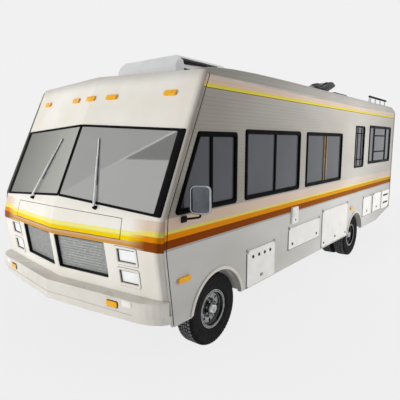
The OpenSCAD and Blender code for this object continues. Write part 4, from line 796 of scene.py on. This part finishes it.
def turned_block(low, high):
    """Box along the wiper: across, way and height limits."""
    p, f = blocks(low, high)
    c, n = math.cos(LEAN), math.sin(LEAN)
    return on_screen(PIVOT[0] + p[:, 0] * c - p[:, 1] * n, PIVOT[1] + p[:, 0] * n + p[:, 1] * c, p[:, 2]), f


way = np.linspace(0.0, ARM, 12)
arm = [tube(along_wiper(way, 0.024 - 0.004 * (way / ARM)), np.linspace(0.0110, 0.0070, 12)),
       turned_block((-0.0055, BLADE[0], 0.012), (0.0055, BLADE[1], 0.017)),
       turned_block([(-0.006, ARM - 0.03, 0.012), (-0.005, 0.30, 0.009), (-0.005, 0.60, 0.009)],
                    [(0.006, ARM + 0.03, 0.024), (0.005, 0.33, 0.019), (0.005, 0.63, 0.019)])]
rubber = [turned_block((-0.0045, BLADE[0] - 0.004, 0.003), (0.0045, BLADE[1] + 0.004, 0.012))]
base = [raised(circle(*PIVOT, 0.017),
               ((0.003, 0.0), (0.0, 0.006), (0.0, 0.026), (-0.004, 0.031), (-0.010, 0.033)), on_screen)]
pair("wiper_arms", arm, "wiper_steel", stands_for=["wipers"])
pair("wiper_blades", rubber + base, "black_rubber")

# Grey strip along the bumper face above the lower lip: a painted shadow line
shade_line = [placed(blocks((0.002, 0.533, 0.0), (1.036, 0.539, 0.0022)), on_bumper)]
pair("bumper_shade_line", shade_line, "roof_paint", smooth=30)
# Valance below the painted shadow line: a smooth skin over the lower lip and its brackets, run out towards
# the ends
skin_u = np.linspace(0.0, 1.034, 24)[:, None]
skin_h = np.interp(skin_u, (0.0, 0.5, 1.034), (-0.0035, -0.0035, -0.0212))
deep = np.full_like(skin_h, -0.030)
valance = [shell(on_bumper(skin_u, np.array([0.4675, 0.4675, 0.533, 0.533]),
                           np.concatenate([deep, skin_h, skin_h, deep], 1)))]
pair("bumper_valance", valance, "bumper_paint", smooth=30)
plate = [raised(box_line(0.934, 1.034, 0.596, 0.648, 0.006), ((0, 0.0005), (0, 0.004), (-0.0015, 0.005)),
                on_bumper)]
pair("bumper_reflector", plate, "hatch_paint")
rims = [moulding(box_line(0.768, 0.884, 0.568, 0.616, 0.008),
                 ((0.0, 0.0005), (0.006, 0.0005), (0.005, 0.004), (0.0, 0.006)), on_bumper)]
pair("bumper_lamp_rims", rims, "black_rubber")

# Mirrors: shell, back, glass and arm
head = box_line(-0.091, 0.091, -0.120, 0.120, 0.046, 8)
shell_steps = ((-0.004, -0.022), (0.0, -0.018), (0.0, 0.010), (-0.003, 0.017), (-0.009, 0.020),
               (-0.012, 0.017))
shells = [raised(head, shell_steps, on_mirror)]
pair("mirror_shells", shells, "bright_trim", stands_for=["mirrors"], smooth=50)
backs = [raised(grown(head, -0.013), ((0, 0.012), (-0.004, 0.019), (-0.020, 0.023)), on_mirror)]
pair("mirror_backs", backs, "smoked_chrome", smooth=50)
looks = [raised(grown(head, -0.010), ((0, -0.021), (0, -0.0235), (-0.002, -0.024)), on_mirror)]
pair("mirror_glasses", looks, "silvering")
foot = np.array([HALF_W + 0.006, at(-0.495), 1.307])
elbow = np.array([1.400, at(-0.425), 1.328])
arm_path = np.concatenate([foot + (elbow - foot) * np.linspace(0, 0.9, 8)[:, None],
                           elbow + np.array([(-0.004, -0.002, 0.002), (0, 0, 0.012)]),
                           elbow + np.array([0, 0, 1.0]) * np.linspace(0.03, 0.10, 6)[:, None]])
arms = [tube(arm_path, 0.0095),
        raised(box_line(at(-0.530), at(-0.460), 1.280, 1.335, 0.012),
               ((0, 0.0), (0, 0.007), (-0.003, 0.010)), on_left)]
pair("mirror_arms", arms, "black_plastic", smooth=50)

# Points up the wall in a line round the coach
WALL_STEPS = 30


def hoop(y_over_z, low):
    """Line round the coach from the left skirt over the roof to the right skirt, with the outward normals:
    up the wall, round the eave arc, along the crown; its lengthwise place is a function of height."""
    wall = np.linspace(low, EAVE_Z, WALL_STEPS)
    turn = np.linspace(0, math.pi / 2, 9)[1:]
    crown = np.linspace(HALF_W - EAVE_R, 0, 14)[1:]
    x = np.concatenate([np.full_like(wall, HALF_W), HALF_W - EAVE_R + EAVE_R * np.cos(turn), crown])
    slope = (ROOF_Z - EAVE_Z - EAVE_R) / (HALF_W - EAVE_R)
    z = np.concatenate([wall, EAVE_Z + EAVE_R * np.sin(turn), ROOF_Z - slope * crown])
    nx = np.concatenate([np.ones_like(wall), np.cos(turn), np.full_like(crown, slope)])
    nz = np.concatenate([np.zeros_like(wall), np.sin(turn), np.ones_like(crown)])
    nx[-1] = 0
    path = np.stack([x, at(y_over_z(z)), z], 1)
    normal = np.stack([nx, np.zeros_like(nx), nz], 1)
    normal /= np.linalg.norm(normal, axis=1)[:, None]
    flip = np.array([-1, 1, 1])
    return np.concatenate([path, (path * flip)[-2::-1]]), np.concatenate([normal, (normal * flip)[-2::-1]])


def moved(profile, s):
    """Section moved sideways."""
    return np.asarray(profile) + (s, 0)


def flat(width, height):
    """Flat section with softened edges, sunk a little."""
    w = width / 2
    return np.array([(w, -0.001), (w, height * 0.7), (w * 0.8, height), (-w * 0.8, height),
                     (-w, height * 0.7), (-w, -0.001)])


seam_path, seam_normal = hoop(lambda z: np.interp(z, SEAM_Z, SEAM_Y), 0.430)
tail_path, tail_normal = hoop(lambda z: np.full_like(z, REAR_SEAM), 0.575)
build("seam_rubber", [strip(seam_path, seam_normal, flat(0.008, 0.0025)),
                      strip(tail_path, tail_normal, moved(flat(0.005, 0.002), -0.014))], "black_rubber")
build("seam_beads", [strip(seam_path, seam_normal, moved(half_round(0.020, 0.007), -0.016)),
                     strip(tail_path, tail_normal, half_round(0.020, 0.006))], "coach_paint", smooth=60)


def lapped(openings):
    """Siding courses on the left wall between belt and upper stripe, stopped by the seams and the openings:
    each stands out at its top and leans further out towards its foot."""
    levels = [COURSE * k for k in COURSES]
    levels += [z for o in openings for z in o[2:4] if levels[0] < z < levels[-1]]
    levels = np.unique(np.round(levels, 4))
    made = []
    for z in zip(levels[:-1], levels[1:]):
        z = np.array(z)
        foot = COURSE * math.floor(z.mean() / COURSE)
        out = COURSE_TOP + COURSE_LEAN * (1 - (z - foot) / COURSE)
        cut = sorted(o for o in openings if o[2] < z.mean() < o[3])
        starts = [np.interp(z, SEAM_Z, SEAM_Y) + 0.016] + [np.full(2, o[1]) for o in cut]
        stops = [o[0] + o[4] * (z - o[2]) / (o[3] - o[2]) for o in cut] + [np.full(2, REAR_SEAM - 0.018)]
        for a, b in zip(starts, stops):
            ring = [on_left(at(y[[0, 0, 1, 1]]), z[[0, 0, 1, 1]], np.array([-0.001, out[0], out[1], -0.001]))
                    for y in (a, b)]
            made.append(shell(np.array(ring)))
    return made


build("siding_courses", lapped(WINDOWS_LEFT) + mirrored(lapped(WINDOWS_RIGHT + (ENTRY_DOOR,))), "coach_paint",
      smooth=5)
# Raised roof edge: a rounded section along the eave, rising behind the front, falling at the rear seam
EDGE_FULL = np.array([(1.2812, 2.498), (1.2812, 2.548), (1.274, 2.576), (1.258, 2.600), (1.232, 2.617),
                      (1.195, 2.627), (1.150, 2.629), (1.100, 2.618), (1.058, 2.590), (1.032, 2.552),
                      (1.060, 2.535), (1.220, 2.505)])
EDGE_LOW = np.array([(1.2812, 2.498), (1.276, 2.510), (1.266, 2.522), (1.252, 2.534), (1.232, 2.544),
                     (1.195, 2.548), (1.150, 2.549), (1.100, 2.550), (1.058, 2.551), (1.032, 2.551),
                     (1.060, 2.535), (1.220, 2.505)])
run = np.concatenate([np.linspace(-0.146, 0.330, 20), np.linspace(0.430, 5.900, 24),
                      np.linspace(5.960, 6.098, 8)])
rise = np.interp(run, (-0.146, -0.110, 0.000, 0.300, 0.700, 1.300), (0.10, 0.30, 0.52, 0.78, 0.94, 1.0))
rise = rise * np.sqrt(np.clip((6.140 - run) / 0.180, 0, 1))
edge = EDGE_LOW + rise[:, None, None] * (EDGE_FULL - EDGE_LOW)
edge = [shell(np.stack([edge[..., 0], np.broadcast_to(at(run)[:, None], edge.shape[:2]), edge[..., 1]], -1))]
pair("roof_edges", edge, "coach_paint", smooth=60)
roof_strips = []
for y in (1.42, 2.62, 4.30, 5.30):
    path, normal = hoop(lambda z: np.full_like(z, y), EAVE_Z)
    roof = slice(WALL_STEPS + 2, -WALL_STEPS - 2)
    roof_strips.append(strip(path[roof], normal[roof], flat(0.050, 0.002)))
build("roof_sealant", roof_strips, "shroud_plastic")
grip_y = np.linspace(at(4.940), at(6.060), 30)
grips = [tube(np.stack([np.full_like(grip_y, 1.100), grip_y, np.full_like(grip_y, 2.752)], 1), 0.0185, 14)]
pair("rack_sleeves", grips, "black_rubber", smooth=60)


def paddle(u, v):
    """Small paddle latch: plate and lifted lever."""
    return [raised(box_line(u - 0.030, u + 0.030, v - 0.017, v + 0.017, 0.008),
                   ((0, 0.0), (0, 0.003), (-0.002, 0.004)), on_lid),
            raised(box_line(u - 0.020, u + 0.020, v - 0.009, v + 0.010, 0.005),
                   ((0, 0.004), (0, 0.008), (-0.003, 0.010)), on_lid)]


def lock(u, v, r=0.013):
    """Round cylinder lock."""
    return [raised(circle(u, v, r), ((0.003, 0.0), (0.002, 0.003), (-0.002, 0.006), (-0.006, 0.006),
                                     (-0.007, 0.003)), on_lid)]


lip_shadows = []
for name, (y0, y1, z0, z1) in HATCHES.items():
    u0, u1 = at(y0), at(y1)
    # Dark rubber strips beside and below the lip on the wall: painted shadow line of the lid
    low = [(u0 - 0.009, z0 - 0.009, 0.0), (u1 + 0.003, z0 - 0.009, 0.0), (u0 - 0.003, z0 - 0.009, 0.0)]
    high = [(u0 - 0.003, z1 - 0.030, 0.0022), (u1 + 0.009, z1 - 0.030, 0.0022),
            (u1 + 0.003, z0 - 0.003, 0.0022)]
    ring = [placed(blocks(low, high), on_left)]
    middle = (u0 + u1) / 2
    bright = paddle(middle, z0 + 0.075)
    dark = []
    if name == "hatch_left_1":
        dark = [lock(u, z1 - 0.075, 0.016)[0] for u in np.linspace(u0 + 0.11, u1 - 0.11, 4)]
    if name == "hatch_left_2":
        bright = []
        dark = lock(u0 + 0.10, z0 + 0.060, 0.015) + lock(u1 - 0.10, z0 + 0.060, 0.015)
    if name in ("hatch_left_3", "hatch_right_1"):
        dark = lock(u0 + 0.07, z0 + 0.06) + lock(u1 - 0.07, z0 + 0.06)
    turn = mirrored if name == "hatch_right_1" else list
    lip_shadows += turn(ring)
    if bright:
        build(name + "_latch", turn(bright), "bright_trim", name)
    if dark:
        build(name + "_locks", turn(dark), "black_plastic", name)
build("hatch_lip_shadows", lip_shadows, "black_rubber", smooth=30)

small_lid = raised(box_line(at(1.495), at(1.613), 1.020, 1.128, 0.010),
                   ((0, 0.025), (0, 0.029), (-0.003, 0.031)), on_left)
build("utility_lid", [small_lid], "hatch_paint")
keyhole = raised(circle(at(1.554), 0.990, 0.011), ((0, 0.025), (0, 0.030), (-0.003, 0.031)), on_left)
build("utility_lock", [keyhole], "black_plastic")
louvres = [placed(blocks([(at(5.592), z, 0.001)], [(at(5.944), z + 0.032, 0.006)]), on_left)
           for z in (0.692, 0.842)]
build("vent_louvres", louvres, "black_plastic", bevel=0.001)
rail_y = at(1.350)
bend = np.linspace(0, math.pi / 2, 6)
rail_out = np.concatenate([[-0.002], 0.030 + 0.020 * np.sin(bend), 0.030 + 0.020 * np.cos(bend), [-0.002]])
rail_z = np.concatenate([[1.00], 1.00 + 0.020 * (1 - np.cos(bend)), 1.56 + 0.020 * np.sin(bend), [1.58]])
rail = on_left(rail_y, rail_z, rail_out)
feet = [raised(circle(rail_y, z, 0.026), ((0, 0), (0, 0.004), (-0.004, 0.006)), on_left)
        for z in (1.00, 1.58)]
build("grab_rail", mirrored([tube(rail, 0.012)] + feet), "bright_trim", smooth=50)
pull = [raised(box_line(at(1.195), at(1.245), 1.135, 1.305, 0.012), ((0, 0.008), (0, 0.011), (-0.003, 0.012)),
               on_left),
        raised(circle(at(1.220), 1.085, 0.016), ((0, 0.008), (0, 0.013), (-0.004, 0.016)), on_left)]
build("door_pull", mirrored(pull), "bright_trim", "entry_door")

# Rear and roof fittings
plate = raised(box_line(-0.1525, 0.1525, 0.700, 0.852, 0.012), ((0, 0.0), (0, 0.004), (-0.002, 0.005)),
               on_rear)
build("rear_plate", [plate], "hatch_paint")
rear_lamps = [raised(box_line(x - 0.055, x + 0.055, 2.335, 2.379, 0.010),
                     ((0, 0.0), (0, 0.012), (-0.006, 0.018)), on_rear)
              for x in (-1.02, -0.25, 0.0, 0.25, 1.02)]
build("rear_markers", rear_lamps, "red_lens")
lens = box_line(1.020, 1.140, 0.800, 1.060, 0.020)
tail_rims = [moulding(lens, ((0.0005, 0.0), (0.010, 0.0), (0.009, 0.010), (0.001, 0.026), (-0.006, 0.027),
                             (-0.006, 0.0245), (0.0005, 0.024)), on_rear)]
pair("tail_lamp_rims", tail_rims, "bright_trim")
corner = [raised(box_line(at(5.955), at(6.045), 0.588, 0.628, 0.008), ((0, 0.0), (0, 0.010), (-0.005, 0.016)),
                 on_left)]
pair("rear_side_markers", corner, "red_lens")


def on_shroud(u, v, h):
    """Lengthwise, up, out of the shroud's side, which leans in at 45 degrees above 2805 mm."""
    u, v, h = np.broadcast_arrays(u, v, h)
    return np.stack([0.460 - np.maximum(v - 2.805, 0) + h, u, v + np.where(v > 2.805, h, 0)], -1)


# Air openings: a long one tapering to the rear over the bend of the side, a narrow one below it
OPENINGS = (((0.467, 2.762), (1.060, 2.792), (1.080, 2.8045), (0.455, 2.8045)),
            ((0.455, 2.8055), (1.080, 2.8055), (1.090, 2.822), (0.440, 2.828)),
            ((0.467, 2.676), (1.060, 2.700), (1.060, 2.714), (0.467, 2.722)))
slots = [raised(np.array([(at(y), z) for y, z in line]), ((0, 0.0004), (0, 0.0020)), on_shroud)
         for line in OPENINGS]
pair("shroud_slots", slots, "black_plastic", smooth=30)
gasket = moulding(box_line(-0.463, 0.463, at(0.327), at(1.303), 0.010),
                  ((-0.010, 2.560), (0.006, 2.560), (0.006, 2.588), (-0.010, 2.588)), on_top)
build("shroud_gasket", [gasket], "black_rubber", smooth=30)
lid_top = raised(box_line(0.634, 1.006, 0.018, 0.474, 0.030),
                 ((0, 0.0318), (0, 0.046), (-0.008, 0.062), (-0.026, 0.074), (-0.060, 0.080),
                  (-0.120, 0.082)), on_vent_lid)
build("vent_lid_dome", [lid_top], "smoked_plastic", "roof_vent_lid", smooth=50)
cover = raised(box_line(0.634, 1.006, at(3.514), at(4.046), 0.030),
               ((0, 2.640), (0, 2.690), (-0.008, 2.704), (-0.030, 2.712), (-0.120, 2.716)), on_top)
build("low_vent_cover", [cover], "smoked_plastic", smooth=50)

# Power that squares off a cushion, steps of cloth under pressure, sideways place of the seats
SQUARE = 0.28
CLOTH_STEPS = 20
SEAT_X = 0.560


def pillow(centre, half, lean=0.0):
    """Superellipsoid: each axis is half size x signed power of the sphere's sines and cosines; leant by
    moving it backwards with height, and crowned because the power leaves every face bowed."""
    a = np.linspace(-math.pi / 2, math.pi / 2, 26)[1:-1, None]
    b = np.linspace(0, 2 * math.pi, 48, endpoint=False)[None, :]

    def power(v):
        return np.sign(v) * np.abs(v) ** SQUARE

    x = half[0] * power(np.cos(a)) * power(np.cos(b))
    y = half[1] * power(np.cos(a)) * power(np.sin(b))
    z = half[2] * power(np.sin(a)) * np.ones_like(b)
    return shell(np.stack([x, y + lean * z, z], -1) + np.array(centre))


def stuffed(piece, cap):
    """Swells a cushion by cloth under pressure, keeps each point within the cap, and subdivides it once."""
    grid = piece.modifiers.new("even", "REMESH")
    grid.mode = "VOXEL"
    grid.voxel_size = 0.012
    even = bpy.data.meshes.new_from_object(piece.evaluated_get(bpy.context.evaluated_depsgraph_get()))
    piece.modifiers.clear()
    piece.data = even
    start_at = np.empty(len(even.vertices) * 3)
    even.vertices.foreach_get("co", start_at)
    cover = piece.modifiers.new("cover", "CLOTH")
    cover.settings.use_pressure = True
    cover.settings.uniform_pressure_force = 4.0
    cover.settings.effector_weights.gravity = 0.0
    for step in range(1, CLOTH_STEPS + 1):
        SCENE.frame_set(step)
    swollen = piece.evaluated_get(bpy.context.evaluated_depsgraph_get()).data
    end_at = np.empty(len(swollen.vertices) * 3)
    swollen.vertices.foreach_get("co", end_at)
    piece.modifiers.clear()
    SCENE.frame_set(1)
    move = (end_at - start_at).reshape(-1, 3)
    far = np.linalg.norm(move, axis=1)[:, None]
    kept = start_at.reshape(-1, 3) + move * np.minimum(1, cap / np.maximum(far, 1e-9))
    even.vertices.foreach_set("co", kept.ravel())
    even.polygons.foreach_set("use_smooth", np.ones(len(even.polygons), bool))
    even.update()
    soft = piece.modifiers.new("soft", "SUBSURF")
    soft.levels = soft.render_levels = 1


for side, s in (("left", 1), ("right", -1)):
    cushion = build("seat_base_" + side, [pillow((s * SEAT_X, at(0.320), 1.115), (0.230, 0.222, 0.048))],
                    "seat_fabric", stands_for=["seat_cushions"], smooth=180)
    back = build("seat_back_" + side,
                 [pillow((s * SEAT_X, at(0.573), 1.515), (0.222, 0.052, 0.318), lean=0.185)],
                 "seat_fabric", stands_for=["seat_cushions"], smooth=180)
    for piece in (cushion, back):
        stuffed(piece, 0.024)

# Tone of the backdrop and the floor
PAPER = "#F1F1F1"


def mirror_places(outline, side, reach):
    """Where the eye sees (across, up) points of a pane mirrored on a flat card: the sight line, turned back
    by twice its part along the pane's normal, is followed to the card."""
    u, v = np.concatenate([outline, [(0.1, 1.5), (1.1, 1.5), (0.6, 2.0)]]).T
    p = on_front(side * u, v, PANE_FACE)
    n = np.cross(p[-2] - p[-3], p[-1] - p[-3])
    n /= np.linalg.norm(n)
    d = p - np.array(eye.location)
    d /= np.linalg.norm(d, axis=1)[:, None]
    r = d - 2 * (d @ n)[:, None] * n
    facing = r[-1]
    t = (p[-1] @ facing + reach - p @ facing) / (r @ facing)
    return (p + t[:, None] * r)[:len(outline)]


def surround_light():
    """Pale surround for eye, mirror and glass rays, and a weaker light from all round."""
    world = bpy.data.worlds.new("studio")
    SCENE.world = world
    world.use_nodes = True
    tree = world.node_tree
    tree.nodes.clear()
    ray = add(tree, "ShaderNodeLightPath").outputs
    seen = maths(tree, "MAXIMUM", ray["Is Camera Ray"], ray["Is Glossy Ray"])
    seen = maths(tree, "MAXIMUM", seen, ray["Is Transmission Ray"])
    shown = add(tree, "ShaderNodeBackground", {"Color": linear(PAPER), "Strength": 1.0})
    light = add(tree, "ShaderNodeBackground", {"Color": linear("#F4F6FA"), "Strength": 0.36})
    mixed = add(tree, "ShaderNodeMixShader", {0: seen, 1: light.outputs[0], 2: shown.outputs[0]})
    add(tree, "ShaderNodeOutputWorld", {"Surface": mixed.outputs[0]})


def set_up(name, points, material):
    """One flat stage piece."""
    mesh = bpy.data.meshes.new(name)
    mesh.from_pydata(points, [], [tuple(range(len(points)))])
    mesh.materials.append(material)
    piece = bpy.data.objects.new(name, mesh)
    SCENE.collection.objects.link(piece)
    return piece


def lay_floor():
    """Pale floor that keeps the shadow; far out it glows fully and runs into the backdrop without a line."""
    paper, tree = bare("floor_paper")
    ray = add(tree, "ShaderNodeLightPath").outputs
    diffuse = add(tree, "ShaderNodeBsdfDiffuse", {"Color": linear(PAPER)})
    glow = add(tree, "ShaderNodeEmission", {"Color": linear(PAPER), "Strength": 1.0})
    away = vector(tree, "LENGTH", add(tree, "ShaderNodeTexCoord").outputs["Object"])
    share = spread(tree, away, 3.0, 12.0, 0.93, 1.0)
    share = maths(tree, "MULTIPLY", maths(tree, "LESS_THAN", ray["Is Diffuse Ray"], 0.5), share)
    mixed = add(tree, "ShaderNodeMixShader", {0: share, 1: diffuse.outputs[0], 2: glow.outputs[0]})
    add(tree, "ShaderNodeOutputMaterial", {"Surface": mixed.outputs[0]})
    half = 60
    set_up("floor", [(-half, -half, 0), (half, -half, 0), (half, half, 0), (-half, half, 0)], paper)


def hang_card(name, reach, side, outline, dark, light, strength):
    """Card that only mirror rays meet, graded from its last corner's tone to its first's."""
    corners = mirror_places(np.array(outline), side, reach)
    made, tree = bare(name)
    along = corners[0] - corners[-1]
    span = float(np.linalg.norm(along))
    begin = float(corners[-1] @ along / span)
    way = vector(tree, "DOT_PRODUCT", add(tree, "ShaderNodeTexCoord").outputs["Object"], tuple(along / span))
    hue = blend(tree, spread(tree, way, begin, begin + span), linear(dark), linear(light))
    shine = add(tree, "ShaderNodeEmission", {"Color": hue, "Strength": strength})
    add(tree, "ShaderNodeOutputMaterial", {"Surface": shine.outputs[0]})
    card = set_up(name, corners.tolist(), made)
    card.visible_camera = card.visible_diffuse = card.visible_transmission = card.visible_shadow = False


def hang_lamp(name, place, aim, size, watts):
    """Soft square lamp turned towards its aim."""
    lamp = bpy.data.objects.new(name, bpy.data.lights.new(name, "AREA"))
    lamp.data.size = size
    lamp.data.energy = watts
    lamp.location = place
    away = np.array(aim) - np.array(place)
    lamp.rotation_euler = (math.acos(-away[2] / np.linalg.norm(away)), 0,
                           math.atan2(away[1], away[0]) - math.pi / 2)
    SCENE.collection.objects.link(lamp)
    # Panes show the plain surround, not the lamps
    lamp.visible_glossy = name == "top_lamp"


def slanted(across, lift):
    """Point of the slanting edge between the cards, in the left pane."""
    return across, lift + 0.502 * across


surround_light()
lay_floor()
# Grey, black and bright cards for the left pane, a graded one for the right: distance, side, outline in the
# pane, tones, strength
hang_card("grey_card", 6.0, 1, ((-0.05, 1.419), (1.3, 2.097), (1.3, 2.2), (-0.05, 2.2)), "#CCCBC7",
          "#CFCFCE", 1.0)
hang_card("black_card", 6.0, 1, ((0.68, 1.785), (1.3, 1.785), slanted(1.3, 1.444)), "#101010", "#101010", 1.0)
hang_card("bright_card", 5.9, 1, (slanted(0.15, 1.452), slanted(1.3, 1.442), slanted(1.3, 1.464)), "#FFFFFF",
          "#FFFFFF", 1.5)
hang_card("graded_card", 6.0, -1, ((0.0, 1.3), (0.0, 2.2), (1.3, 2.2), (1.3, 1.3)), "#201F0C", "#F4F4E8", 1.0)
# Lamps: place, aim, size, watts
hang_lamp("front_lamp", (-3.0, -11.0, 2.2), (0, -3.4, 1.5), 6.0, 590)
hang_lamp("side_lamp", (8.0, 2.8, 3.0), (1.2, 0.6, 1.4), 5.0, 305)
hang_lamp("top_lamp", (0.5, 0.5, 9.5), (0, 0, 0), 8.0, 120)
